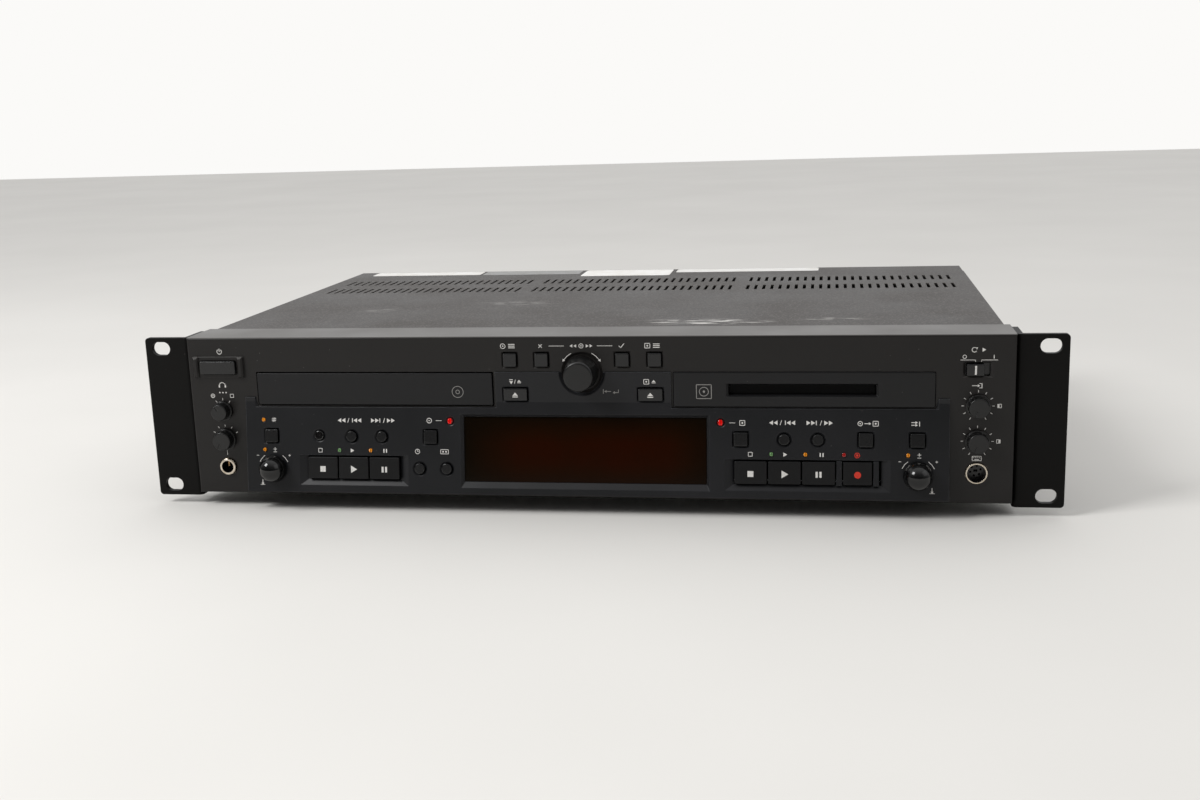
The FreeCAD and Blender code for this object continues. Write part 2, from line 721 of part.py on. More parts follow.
def make_control_panel():
    """The raised lower moulding: leaning face, two corner tabs, centre hump and a skirt behind."""
    face_depth = LEAN.depth_at(PANEL_BOTTOM)
    profile = [(-FASCIA_PROUD, PANEL_BOTTOM), (face_depth, PANEL_BOTTOM),
               (-PANEL_PROUD, PANEL_BEND), (-PANEL_PROUD, HUMP_TOP), (-FASCIA_PROUD, HUMP_TOP)]
    front = prism_x(profile, -PANEL_HALF, PANEL_HALF)
    cheeks = [box(-PANEL_HALF, PANEL_HALF, -PANEL_FOOT_PROUD, 0, PANEL_TAB_TOP, HUMP_TOP + 1)]
    cheeks += [box(-PANEL_HALF + PANEL_TAB_WIDTH, PANEL_HALF - PANEL_TAB_WIDTH,
                   -PANEL_FOOT_PROUD, 0, PANEL_TOP, PANEL_TAB_TOP)]
    hump_space = box(-HUMP_HALF, HUMP_HALF, -PANEL_FOOT_PROUD, 0, PANEL_TOP, HUMP_TOP + 1)
    front = cut(front, [cheek.cut(hump_space) for cheek in cheeks])
    front = fuse([front] + [tab_gusset(side) for side in (-1, 1)])
    skirt = box(-SKIRT_HALF, SKIRT_HALF, -FASCIA_PROUD, 0, SKIRT_BOTTOM, SKIRT_TOP)
    low = SKIRT_BOTTOM + PANEL_SKIRT
    high = SKIRT_TOP - PANEL_SKIRT
    wall_back = PANEL_WALL / math.cos(PANEL_LEAN)
    inside = [(1.0, low), (LEAN.depth_at(low) + wall_back, low),
              (LEAN.depth_at(high) + wall_back, high), (1.0, high)]
    cavity = prism_x(inside, -SKIRT_HALF + PANEL_SKIRT, SKIRT_HALF - PANEL_SKIRT)
    body = cut(fuse([front, skirt]), [cavity])
    holes = [window_opening()] + [key_well(*ends) for ends in WELLS] + lens_holes()
    holes += [button.hole() for button in BUTTONS if button.face is not FLAT]
    holes += [LEAN.put(shaft_hole(), side * PITCH_X, PITCH_ROW) for side in (-1, 1)]
    holes += [jog_space()]
    body = cut(body, holes)
    return fuse([body] + [key_spacer(x0) for x0 in SPACERS])


def jog_space():
    """The shallow dish round the jog knob, with the hole for its shaft."""
    spread = (JOG_DISH_RADIUS - JOG_DISH_FLOOR_RADIUS) / JOG_DISH_DEPTH
    dish = cone_y(0, JOG_ROW, JOG_DISH_RADIUS + spread, JOG_DISH_FLOOR_RADIUS,
                  -PANEL_PROUD - 1.0, -PANEL_PROUD + JOG_DISH_DEPTH)
    return fuse([dish, rod_y(0, JOG_ROW, SHAFT_RADIUS + RUNNING_GAP, -PANEL_PROUD, 1.0)])


def bay_opening(side):
    half = BAY_WIDTH / 2
    centre = side * BAY_CENTRE_X
    return box(centre - half, centre + half, -FASCIA_PROUD - 1, 1, BAY_BOTTOM, BAY_TOP)


def make_fascia():
    half = CASE_HALF
    shell = box(-half, half, -FASCIA_PROUD, FASCIA_TOP_DEPTH, FASCIA_BOTTOM, FASCIA_TOP)
    front_edges = [e for e in shell.Edges if lies_at_y(e, -FASCIA_PROUD)]
    shell = shell.makeFillet(FASCIA_EDGE_RADIUS, front_edges)
    inner_half = half - FASCIA_WALL
    ceiling = FASCIA_TOP - FASCIA_WALL
    floor = FASCIA_BOTTOM + FASCIA_WALL
    inside = box(-inner_half, inner_half, FASCIA_BACK, FASCIA_TOP_DEPTH + 1, floor, ceiling)
    sole_end = box(-inner_half, inner_half, FASCIA_SOLE_DEPTH, FASCIA_TOP_DEPTH + 1,
                   FASCIA_BOTTOM - 1, floor)
    window = box(-SKIRT_HALF - SEAT_GAP, SKIRT_HALF + SEAT_GAP, -FASCIA_PROUD - 1, 1,
                 SKIRT_BOTTOM - SEAT_GAP, SKIRT_TOP + SEAT_GAP)
    body = fuse([cut(shell, [inside, sole_end]), power_collar()])
    holes = [window, bay_opening(-1), bay_opening(1), jog_space(), POWER.hole(), switch_slot()]
    holes += [button.hole() for button in BUTTONS if button.face is not LEAN]
    holes += [FLAT.put(shaft_hole(), x, z) for _, x, z, *_ in SMALL_KNOBS]
    holes += [FLAT.put(shaft_hole(JACK_RING_RADIUS), PHONES_X, JACK_ROW)]
    holes += [FLAT.put(shaft_hole(KEYBOARD_RING_RADIUS), INPUT_X, KEYBOARD_ROW)]
    return cut(body, holes)


def power_collar():
    """The guard round the power button: two upright posts joined by low bars."""
    half_x = COLLAR_WIDTH / 2
    half_z = COLLAR_HEIGHT / 2
    posts = []
    for side in (-1, 1):
        middle = side * (half_x - COLLAR_POST_WIDTH / 2)
        reach = COLLAR_POST_WIDTH / 2
        post = box(middle - reach, middle + reach, -COLLAR_PROUD, 0, -half_z, half_z)
        front = [e for e in post.Edges if lies_at_y(e, -COLLAR_PROUD)]
        posts.append(post.makeChamfer(COLLAR_POST_WIDTH * 0.3, front))
    bar = rounded_box(-half_x, half_x, -COLLAR_BAR_PROUD, 0, -half_z, half_z, BUTTON_CORNER)
    return FLAT.put(fuse(posts + [bar]), POWER_X, POWER_ROW)


def switch_slot():
    half = SWITCH_SLOT_WIDTH / 2
    rise = SWITCH_SLOT_HEIGHT / 2
    slot = rounded_box(-half, half, -1, FASCIA_WALL + 1, -rise, rise, BUTTON_CORNER)
    bevel = bevelled_pocket(-half, half, -rise, rise, HOLE_BEVEL, HOLE_BEVEL * 2, HOLE_BEVEL, HOLE_BEVEL)
    return FLAT.put(fuse([slot, bevel]), SWITCH_X, SWITCH_ROW)


def make_switch_cap():
    """The slide switch's cap at its left end, with a back plate that always covers the slot."""
    half = SWITCH_CAP_WIDTH / 2
    rise = SWITCH_SLOT_HEIGHT / 2 - RUNNING_GAP
    back = FASCIA_WALL + RUNNING_GAP
    cap = rounded_box(-half, half, -SWITCH_PROUD, back + FLANGE_THICKNESS, -rise, rise,
                      BUTTON_CORNER, BUTTON_EDGE)
    reach = (SWITCH_SLOT_WIDTH + SWITCH_TRAVEL) / 2 + FLANGE_LIP
    plate = box(-reach, reach, back, back + FLANGE_THICKNESS,
                -rise - FLANGE_LIP - RUNNING_GAP, rise + FLANGE_LIP + RUNNING_GAP)
    return FLAT.put(fuse([cap, plate]), SWITCH_X - SWITCH_TRAVEL / 2, SWITCH_ROW)


def make_chassis():
    """The folded tray: sole, two side walls with top flanges, a front lip and the rear wall."""
    t = CHASSIS_THICKNESS
    half = CHASSIS_HALF
    front = FASCIA_SOLE_DEPTH + SEAT_GAP
    wall_front = FASCIA_TOP_DEPTH + SEAT_GAP
    wide = COVER_INNER - RUNNING_GAP
    narrow = CASE_HALF - FASCIA_WALL - SEAT_GAP
    pieces = [box(-narrow, narrow, front, CASE_DEPTH, CASE_BOTTOM, CASE_BOTTOM + t),
              box(-wide, wide, wall_front, CASE_DEPTH, CASE_BOTTOM, CASE_BOTTOM + t)]
    pieces += [box(-half, half, CASE_DEPTH - t, CASE_DEPTH, CASE_BOTTOM, COVER_UNDERSIDE)]
    pieces += [box(-half, half, front, front + t, CASE_BOTTOM, CASE_BOTTOM + CHASSIS_LIP)]
    for side in (-1, 1):
        outer = side * half
        wall = sorted((outer, outer - side * t))
        flange = sorted((outer, outer - side * CHASSIS_FLANGE))
        pieces.append(box(*wall, wall_front, CASE_DEPTH, CASE_BOTTOM, COVER_UNDERSIDE))
        pieces.append(box(*flange, wall_front, CASE_DEPTH, COVER_UNDERSIDE - t, COVER_UNDERSIDE))
    body = fuse(pieces)
    return cut(body, rear_holes() + [screw.hole() for screw in SCREWS])


def make_cover():
    """The U shaped lid with a stepped shoulder along both top edges and two rows of vents."""
    t = COVER_THICKNESS
    shoulder = COVER_TOP - SHOULDER_DROP
    sections = [(-CASE_HALF, CASE_HALF, CASE_BOTTOM, shoulder),
                (-COVER_TOP_HALF, COVER_TOP_HALF, shoulder - t, COVER_TOP)]
    outer = fuse(box(x0, x1, FASCIA_TOP_DEPTH + RUNNING_GAP, CASE_DEPTH, z0, z1)
                 for x0, x1, z0, z1 in sections)
    start = FASCIA_TOP_DEPTH
    inner = fuse([box(-COVER_INNER, COVER_INNER, start, CASE_DEPTH + 1, CASE_BOTTOM - 1, shoulder - t),
                  box(-COVER_TOP_HALF + t, COVER_TOP_HALF - t, start, CASE_DEPTH + 1,
                      shoulder - 2 * t, COVER_UNDERSIDE)])
    rear_row = CASE_DEPTH - VENT_REAR_MARGIN
    slots = [vent(group, index, depth) for depth in (rear_row - VENT_ROW_SPACING, rear_row)
             for group in (-1, 0, 1) for index in range(VENT_COUNT)]
    side_screws = [screw.hole() for screw in SCREWS if screw.axis == "x"]
    return cut(outer, [inner] + slots + side_screws)


def vent(group, index, depth):
    x = group * VENT_GROUP_SPACING + (index - (VENT_COUNT - 1) / 2) * VENT_SPACING
    half = VENT_WIDTH / 2
    reach = VENT_LENGTH / 2
    return box(x - half, x + half, depth - reach, depth + reach, COVER_UNDERSIDE - 1, COVER_TOP + 1)


class Screw:
    """A pan head screw: its head stands on an outer face and its shank runs inwards."""

    def __init__(self, point, axis, sign):
        self.point = point
        self.axis = axis
        self.inward = V(sign, 0, 0) if axis == "x" else V(0, sign, 0)

    def solid(self):
        shank = Part.makeCylinder(SCREW_RADIUS, SCREW_LENGTH, self.point, self.inward)
        head = Part.makeCylinder(SCREW_HEAD_RADIUS, SCREW_HEAD_HEIGHT, self.point, self.inward * -1)
        crown = [e for e in head.Edges if self.is_crown(e)]
        return fuse([shank, head.makeFillet(SCREW_HEAD_HEIGHT * 0.5, crown)])

    def is_crown(self, edge):
        offset = (edge.CenterOfMass - self.point).dot(self.inward)
        return edge.Length > SCREW_HEAD_RADIUS * 3 and offset < -SCREW_HEAD_HEIGHT * 0.9

    def hole(self):
        start = self.point - self.inward * SCREW_HEAD_HEIGHT
        return Part.makeCylinder(SCREW_RADIUS + SCREW_HOLE_GAP, SCREW_LENGTH * 2, start, self.inward)


EAR_LEG_INNER = CASE_HALF + SEAT_GAP
EAR_LEG_OUTER = EAR_LEG_INNER + EAR_THICKNESS
EAR_SCREW_SPOTS = [(EAR_SCREW_FRONT_DEPTH, EAR_SCREW_ROW - EAR_SCREW_SPREAD),
                   (EAR_SCREW_FRONT_DEPTH, EAR_SCREW_ROW + EAR_SCREW_SPREAD),
                   (EAR_SCREW_REAR_DEPTH, EAR_SCREW_ROW)]
COVER_SCREW_REAR = CASE_DEPTH - COVER_SCREW_REAR_MARGIN
COVER_SCREW_SPOTS = [(COVER_SCREW_REAR - COVER_SCREW_SPACING, COVER_SCREW_ROW),
                     (COVER_SCREW_REAR, COVER_SCREW_ROW)]
REAR_SCREW_END = CASE_HALF - REAR_SCREW_MARGIN
REAR_SCREW_SPOTS = [(x, REAR_SCREW_HIGH_ROW)
                    for x in (-REAR_SCREW_END, -REAR_SCREW_COLUMN, REAR_SCREW_COLUMN, REAR_SCREW_END)]
REAR_SCREW_SPOTS += [(x, REAR_SCREW_LOW_ROW) for x in (-REAR_SCREW_END, REAR_SCREW_END)]
SCREWS = [Screw(V(side * EAR_LEG_OUTER, y, z), "x", -side) for side in (-1, 1) for y, z in EAR_SCREW_SPOTS]
SCREWS += [Screw(V(side * CASE_HALF, y, z), "x", -side) for side in (-1, 1) for y, z in COVER_SCREW_SPOTS]
SCREWS += [Screw(V(x, CASE_DEPTH, z), "y", -1) for x, z in REAR_SCREW_SPOTS]


def make_ear(side):
    """An angle bracket: a slotted plate outside the case and a leg along the case side."""
    outer = RACK_WIDTH / 2
    plate = box(EAR_LEG_INNER, outer, 0, EAR_THICKNESS, 0, RACK_HEIGHT)
    corners = [e for e in plate.Edges if runs_along_y(e) and e.CenterOfMass.x > outer - 1]
    plate = plate.makeFillet(EAR_CORNER_RADIUS, corners)
    leg = fuse([box(EAR_LEG_INNER, EAR_LEG_OUTER, 0, EAR_LEG_STEP_DEPTH, 0, RACK_HEIGHT),
                box(EAR_LEG_INNER, EAR_LEG_OUTER, 0, EAR_LEG_LENGTH, EAR_LEG_LOW_BOTTOM, EAR_LEG_LOW_TOP)])
    body = fuse([plate, leg])
    bend = [e for e in body.Edges if abs(e.CenterOfMass.x - EAR_LEG_INNER) < 1e-4
            and abs(e.CenterOfMass.y) < 1e-4 and e.Length > RACK_HEIGHT / 2]
    body = body.makeFillet(EAR_THICKNESS * 0.9, bend)
    slots = [rack_slot(z) for z in (RACK_SLOT_MARGIN, RACK_HEIGHT - RACK_SLOT_MARGIN)]
    body = cut(body, slots)
    if side < 0:
        body = body.mirror(V(0, 0, 0), V(1, 0, 0))
    return cut(body, [screw.hole() for screw in SCREWS if screw.axis == "x"])


def rack_slot(middle_z):
    middle_x = RACK_WIDTH / 2 - RACK_SLOT_INSET
    radius = RACK_SLOT_HEIGHT / 2
    reach = RACK_SLOT_LENGTH / 2 - radius
    ends = [rod_y(middle_x + shift, middle_z, radius, -1, EAR_THICKNESS + 1) for shift in (-reach, reach)]
    return fuse(ends + [box(middle_x - reach, middle_x + reach, -1, EAR_THICKNESS + 1,
                            middle_z - radius, middle_z + radius)])


def make_feet():
    feet = []
    height = CASE_BOTTOM + FOOT_CLEARANCE
    for x in (FOOT_MARGIN - CASE_HALF, CASE_HALF - FOOT_MARGIN):
        for y in (FOOT_FRONT_DEPTH, CASE_DEPTH - FOOT_REAR_MARGIN):
            ground = V(x, y, -FOOT_CLEARANCE)
            feet.append(Part.makeCone(FOOT_RADIUS - FOOT_TAPER, FOOT_RADIUS, height, ground))
    return Part.makeCompound(feet)


def make_tray():
    """The disc tray: a plate with stepped disc recesses, a spindle slot, side rails and a gear rack."""
    half = TRAY_WIDTH / 2
    front = DOOR_THICKNESS - BAY_PROUD
    back = front + TRAY_LENGTH
    plate = box(TRAY_X - half, TRAY_X + half, front, back, TRAY_TOP - TRAY_PLATE, TRAY_TOP)
    rails = [box(x, x + TRAY_RAIL_WIDTH, front, back, TRAY_RAIL_BOTTOM, TRAY_TOP)
             for x in (TRAY_X - half, TRAY_X + half - TRAY_RAIL_WIDTH)]
    disc = rod_z(TRAY_X, DISC_CENTRE_DEPTH, DISC_DIAMETER / 2, TRAY_TOP - DISC_RECESS, TRAY_TOP + 1)
    small = rod_z(TRAY_X, DISC_CENTRE_DEPTH, SMALL_DISC_DIAMETER / 2,
                  TRAY_TOP - DISC_RECESS - SMALL_DISC_RECESS, TRAY_TOP)
    reach = SPINDLE_SLOT_WIDTH / 2
    slot = fuse([rod_z(TRAY_X, DISC_CENTRE_DEPTH, reach, 0, TRAY_TOP + 1),
                 box(TRAY_X - reach, TRAY_X + reach, DISC_CENTRE_DEPTH, back - TRAY_REAR_BAR,
                     0, TRAY_TOP + 1)])
    body = cut(fuse([plate] + rails), [disc, small, slot])
    return fuse([body, gear_rack(front, back)])


def rack_line_x():
    """The rack's pitch line, beside the tray's left rail."""
    return TRAY_X - TRAY_WIDTH / 2 + TRAY_RAIL_WIDTH + RACK_BAR_WIDTH + GEAR_MODULE * 1.25


def pinion_x():
    return rack_line_x() + PITCH_CIRCLE


def gear_rack(front, back):
    """Straight sided teeth on the rack bar, pointing right, a tooth space facing the pinion's axis."""
    slope = math.tan(math.radians(20.0))
    pitch = math.pi * GEAR_MODULE
    tip = rack_line_x() + GEAR_MODULE - GEAR_TIP_GAP
    root = rack_line_x() - GEAR_MODULE * 1.25
    half_pitch_line = pitch / 4 - GEAR_BACKLASH / 4
    top = TRAY_TOP - TRAY_PLATE
    bottom = top - GEAR_WIDTH
    teeth = [box(root - RACK_BAR_WIDTH, root, front, back, bottom, top)]
    count = int((back - PINION_DEPTH) / pitch) - 1
    for i in range(-int((PINION_DEPTH - front) / pitch), count):
        centre = PINION_DEPTH + (i + 0.5) * pitch
        at_tip = half_pitch_line - (tip - rack_line_x()) * slope
        at_root = half_pitch_line + (rack_line_x() - root) * slope
        teeth.append(prism_z([(root - 0.1, centre - at_root), (tip, centre - at_tip),
                              (tip, centre + at_tip), (root - 0.1, centre + at_root)], bottom, top))
    return fuse(teeth)


def involute_flank(base, radius_from, radius_to, steps):
    """Points of an involute of the base circle, as (radius, angle) pairs."""
    points = []
    for i in range(steps + 1):
        radius = radius_from + (radius_to - radius_from) * i / steps
        roll = math.sqrt(max((radius / base) ** 2 - 1, 0.0))
        points.append((radius, roll - math.atan(roll)))
    return points


def make_pinion():
    """A spur pinion whose first tooth points left into the rack's tooth space."""
    base = PITCH_CIRCLE * math.cos(math.radians(20.0))
    tip = PITCH_CIRCLE + GEAR_MODULE - GEAR_TIP_GAP
    root = PITCH_CIRCLE - GEAR_MODULE * 1.25
    at_pitch = involute_flank(base, PITCH_CIRCLE, PITCH_CIRCLE, 1)[0][1]
    half_angle = math.pi / (2 * PINION_TEETH) - GEAR_BACKLASH / (4 * PITCH_CIRCLE)
    flank = [(root, 0.0)] + involute_flank(base, max(base, root), tip, 6)
    points = []
    for tooth in range(PINION_TEETH):
        middle = math.pi + tooth * 2 * math.pi / PINION_TEETH
        rising = [(r, middle - half_angle - at_pitch + a) for r, a in flank]
        falling = [(r, middle + half_angle + at_pitch - a) for r, a in reversed(flank)]
        points += [(r * math.cos(a), r * math.sin(a)) for r, a in rising + falling]
    top = TRAY_TOP - TRAY_PLATE - RUNNING_GAP
    bottom = top - GEAR_WIDTH
    centre = V(pinion_x(), PINION_DEPTH, 0)
    wheel = prism_z([(x + centre.x, y + centre.y) for x, y in points], bottom, top)
    hub = rod_z(centre.x, centre.y, PINION_HUB_RADIUS, cd_deck_top() + RUNNING_GAP, bottom)
    bore = rod_z(centre.x, centre.y, PINION_PIN_RADIUS + PIN_CLEARANCE, 0, TRAY_TOP)
    return cut(fuse([wheel, hub]), [bore])


def make_tray_door():
    half = BAY_WIDTH / 2 - DOOR_GAP
    return rounded_box(TRAY_X - half, TRAY_X + half, -BAY_PROUD, DOOR_THICKNESS - BAY_PROUD,
                       BAY_BOTTOM + DOOR_GAP, BAY_TOP - DOOR_GAP, BUTTON_CORNER, BUTTON_EDGE)


def cd_deck_top():
    return CD_DRIVE_BOTTOM + DECK_PLATE


def make_cd_drive():
    """The disc mechanism: deck, side walls with rail grooves, clamp bridge, motor and pinion pin."""
    inner = TRAY_WIDTH / 2 + RUNNING_GAP
    outer = inner + CD_SIDE_WALL
    back = DRIVE_FRONT + CD_DRIVE_LENGTH
    pieces = [box(TRAY_X - outer, TRAY_X + outer, DRIVE_FRONT, back, CD_DRIVE_BOTTOM, cd_deck_top())]
    rail_under = TRAY_RAIL_BOTTOM - RUNNING_GAP
    rail_over = TRAY_TOP + RUNNING_GAP
    for side in (-1, 1):
        wall = sorted((TRAY_X + side * inner, TRAY_X + side * outer))
        ledge = sorted((TRAY_X + side * outer, TRAY_X + side * (inner - TRAY_RAIL_WIDTH)))
        pieces.append(box(*wall, DRIVE_FRONT, back, CD_DRIVE_BOTTOM, CD_DRIVE_TOP))
        pieces.append(box(*ledge, DRIVE_FRONT, back, rail_under - DECK_PLATE, rail_under))
        pieces.append(box(*ledge, DRIVE_FRONT, back, rail_over, rail_over + DECK_PLATE))
    bridge = box(TRAY_X - outer, TRAY_X + outer, DISC_CENTRE_DEPTH - SPINDLE_SLOT_WIDTH / 2,
                 DISC_CENTRE_DEPTH + SPINDLE_SLOT_WIDTH / 2, CD_DRIVE_TOP - DECK_PLATE, CD_DRIVE_TOP)
    puck = rod_z(TRAY_X, DISC_CENTRE_DEPTH, TURNTABLE_RADIUS, TRAY_TOP + DECK_PLATE, CD_DRIVE_TOP)
    spindle_top = TRAY_TOP - TRAY_PLATE - RUNNING_GAP
    motor = rod_z(TRAY_X, DISC_CENTRE_DEPTH, MOTOR_RADIUS, cd_deck_top(), spindle_top - DECK_PLATE)
    table = rod_z(TRAY_X, DISC_CENTRE_DEPTH, TURNTABLE_RADIUS, spindle_top - DECK_PLATE, spindle_top)
    pin = rod_z(pinion_x(), PINION_DEPTH, PINION_PIN_RADIUS, CD_DRIVE_BOTTOM, spindle_top)
    legs = [rod_z(TRAY_X + side * (inner - CD_LEG_INSET), y, STANDOFF_RADIUS,
                  CASE_BOTTOM + CHASSIS_THICKNESS, CD_DRIVE_BOTTOM)
            for side in (-1, 1) for y in (DRIVE_FRONT + CD_LEG_FRONT, back - CD_LEG_REAR)]
    return fuse(pieces + [bridge, puck, motor, table, pin] + legs)


def make_bezel():
    """The minidisc bezel: a plate in the right bay with the slot and two ears for the flap's pins."""
    half = BAY_WIDTH / 2 - SEAT_GAP
    plate = rounded_box(BAY_CENTRE_X - half, BAY_CENTRE_X + half, -BAY_PROUD, BEZEL_THICKNESS - BAY_PROUD,
                        BAY_BOTTOM + SEAT_GAP, BAY_TOP - SEAT_GAP, BUTTON_CORNER, BUTTON_EDGE)
    half_slot = SLOT_WIDTH / 2
    slot = box(SLOT_CENTRE_X - half_slot, SLOT_CENTRE_X + half_slot, -BAY_PROUD - 1, 1,
               SLOT_BOTTOM, SLOT_TOP)
    bevel = bevelled_pocket(SLOT_CENTRE_X - half_slot, SLOT_CENTRE_X + half_slot, SLOT_BOTTOM, SLOT_TOP,
                            SLOT_BEVEL, SLOT_BEVEL, SLOT_BEVEL * 0.6, SLOT_BEVEL * 0.6)
    bevel.translate(V(0, -BAY_PROUD, 0))
    ears = []
    for side in (-1, 1):
        near = SLOT_CENTRE_X + side * (flap_half() + RUNNING_GAP)
        far = near + side * FLAP_PIN_LENGTH
        ears.append(box(*sorted((near, far)), BEZEL_THICKNESS - BAY_PROUD,
                        FLAP_AXIS_DEPTH + FLAP_EAR_REACH, FLAP_AXIS_HEIGHT - FLAP_EAR_REACH,
                        FLAP_AXIS_HEIGHT + FLAP_EAR_REACH))
    pins = rod_x(FLAP_AXIS_DEPTH, FLAP_AXIS_HEIGHT, FLAP_KNUCKLE_RADIUS + PIN_CLEARANCE * 2,
                 SLOT_CENTRE_X - SLOT_WIDTH, SLOT_CENTRE_X + SLOT_WIDTH)
    return cut(fuse([cut(plate, [slot, bevel])] + ears), [pins])


def flap_half():
    return SLOT_WIDTH / 2 - RUNNING_GAP


def make_flap():
    """The dust flap behind the slot, hung on pins along its top edge."""
    half = flap_half()
    pin_reach = half + FLAP_PIN_LENGTH
    plate = box(SLOT_CENTRE_X - half, SLOT_CENTRE_X + half, FLAP_AXIS_DEPTH - FLAP_THICKNESS / 2,
                FLAP_AXIS_DEPTH + FLAP_THICKNESS / 2, SLOT_BOTTOM - FLAP_OVERLAP, FLAP_AXIS_HEIGHT)
    knuckle = rod_x(FLAP_AXIS_DEPTH, FLAP_AXIS_HEIGHT, FLAP_KNUCKLE_RADIUS,
                    SLOT_CENTRE_X - pin_reach, SLOT_CENTRE_X + pin_reach)
    return fuse([plate, knuckle])


def md_drive_front():
    flap_length = FLAP_AXIS_HEIGHT - SLOT_BOTTOM + FLAP_OVERLAP
    return FLAP_AXIS_DEPTH + flap_length + RUNNING_GAP * 2


def make_md_drive():
    """The minidisc mechanism: a cartridge holder open to the slot, on a deck with four legs."""
    half = SLOT_WIDTH / 2
    front = md_drive_front()
    back = front + MD_DRIVE_LENGTH
    holder = box(SLOT_CENTRE_X - half - HOLDER_WALL, SLOT_CENTRE_X + half + HOLDER_WALL, front,
                 front + HOLDER_DEPTH + HOLDER_WALL, SLOT_BOTTOM - HOLDER_WALL, SLOT_TOP + HOLDER_WALL)
    inside = box(SLOT_CENTRE_X - half, SLOT_CENTRE_X + half, front - 1, front + HOLDER_DEPTH,
                 SLOT_BOTTOM, SLOT_TOP)
    deck_half = half + HOLDER_WALL + DECK_PLATE
    deck = box(SLOT_CENTRE_X - deck_half, SLOT_CENTRE_X + deck_half, front, back,
               MD_DRIVE_BOTTOM, MD_DRIVE_BOTTOM + DECK_PLATE)
    motor = rod_z(SLOT_CENTRE_X, front + HOLDER_DEPTH / 2, MOTOR_RADIUS,
                  MD_DRIVE_BOTTOM, SLOT_BOTTOM - HOLDER_WALL)
    loader = box(SLOT_CENTRE_X - half, SLOT_CENTRE_X, front + HOLDER_DEPTH + HOLDER_WALL, back,
                 MD_DRIVE_BOTTOM, SLOT_TOP)
    props = [box(x, x + DECK_PLATE, front + MD_PROP_FRONT, back - MD_PROP_REAR,
                 MD_DRIVE_BOTTOM, SLOT_BOTTOM)
             for x in (SLOT_CENTRE_X - deck_half, SLOT_CENTRE_X + deck_half - DECK_PLATE)]
    legs = [rod_z(SLOT_CENTRE_X + side * (half - MD_LEG_INSET), y, STANDOFF_RADIUS,
                  CASE_BOTTOM + CHASSIS_THICKNESS, MD_DRIVE_BOTTOM)
            for side in (-1, 1) for y in (BOARD_DEPTH + MD_LEG_FRONT, back - MD_LEG_REAR)]
    return fuse([cut(holder, [inside]), deck, motor, loader] + props + legs)


def make_front_board():
    """The front circuit board with three raised wings, carrying the display tube and rotary parts."""
    back = BOARD_DEPTH + BOARD_THICKNESS
    middle = box(-BOARD_HALF_WIDTH, BOARD_HALF_WIDTH, BOARD_DEPTH, back,
                 BOARD_BOTTOM, BOARD_MIDDLE_TOP)
    wings = [box(-BOARD_HUB_WIDTH / 2, BOARD_HUB_WIDTH / 2, BOARD_DEPTH, back, BOARD_BOTTOM, BOARD_WING_TOP)]
    for side in (-1, 1):
        ends = sorted((side * BOARD_HALF_WIDTH, side * (BOARD_HALF_WIDTH - BOARD_WING_WIDTH)))
        wings.append(box(*ends, BOARD_DEPTH, back, BOARD_BOTTOM, BOARD_WING_TOP))
    board = fuse([middle] + wings)
    half = POT_SIZE / 2
    spots = [(x, z, POT_FRONT) for _, x, z, *_ in SMALL_KNOBS]
    spots += [(0, JOG_ROW, POT_FRONT), (-PITCH_X, PITCH_ROW, POT_FRONT), (PITCH_X, PITCH_ROW, POT_FRONT)]
    pots = [box(x - half, x + half, front, BOARD_DEPTH, z - half, z + half) for x, z, front in spots]
    tube = box(-TUBE_WIDTH / 2, TUBE_WIDTH / 2, BOARD_DEPTH - TUBE_THICKNESS, BOARD_DEPTH,
               TUBE_BOTTOM, TUBE_TOP)
    return fuse([board] + pots + [tube])


def make_small_knob(x, z, radius, rest_angle):
    """A round knob with a wider skirt and a pointer groove, moulded round its own shaft."""
    skirt = rod_y(0, 0, radius, -RUNNING_GAP - KNOB_SKIRT, -RUNNING_GAP)
    body = cone_y(0, 0, radius - KNOB_FACE_SHRINK * 2, radius - KNOB_FACE_SHRINK,
                  -SMALL_KNOB_LENGTH, -RUNNING_GAP - KNOB_SKIRT)
    body = body.makeFillet(KNOB_FACE_SHRINK, [e for e in body.Edges if lies_at_y(e, -SMALL_KNOB_LENGTH)])
    shaft = rod_y(0, 0, SHAFT_RADIUS, -RUNNING_GAP - KNOB_SKIRT, POT_FRONT + FASCIA_PROUD - RUNNING_GAP)
    groove = box(-POINTER_WIDTH / 2, POINTER_WIDTH / 2, -SMALL_KNOB_LENGTH - 1,
                 -SMALL_KNOB_LENGTH + POINTER_DEPTH, radius * 0.25, radius + 1)
    groove.rotate(V(0, 0, 0), V(0, 1, 0), rest_angle)
    return FLAT.put(cut(fuse([skirt, body, shaft]), [groove]), x, z)


def make_jog_knob():
    front = -PANEL_PROUD - JOG_LENGTH
    back = -PANEL_PROUD - PUSH_ROOM
    cap = cone_y(0, JOG_ROW, JOG_FACE_RADIUS, JOG_BASE_RADIUS, front, back)
    cap = cap.makeFillet(JOG_RIM, [e for e in cap.Edges if lies_at_y(e, front)])
    bore = rod_y(0, JOG_ROW, SHAFT_RADIUS + PIN_CLEARANCE, back - KNOB_BORE_DEPTH, 0)
    return cut(cap, [bore])


def make_jog_shaft():
    """The jog encoder's shaft, which the knob turns on and pushes in."""
    front = -PANEL_PROUD - PUSH_ROOM - KNOB_BORE_DEPTH + RUNNING_GAP
    back = POT_FRONT - PUSH_ROOM
    return rod_y(0, JOG_ROW, SHAFT_RADIUS, front, back)


def pitch_bore_bottom():
    return -PUSH_ROOM - KNOB_BORE_DEPTH


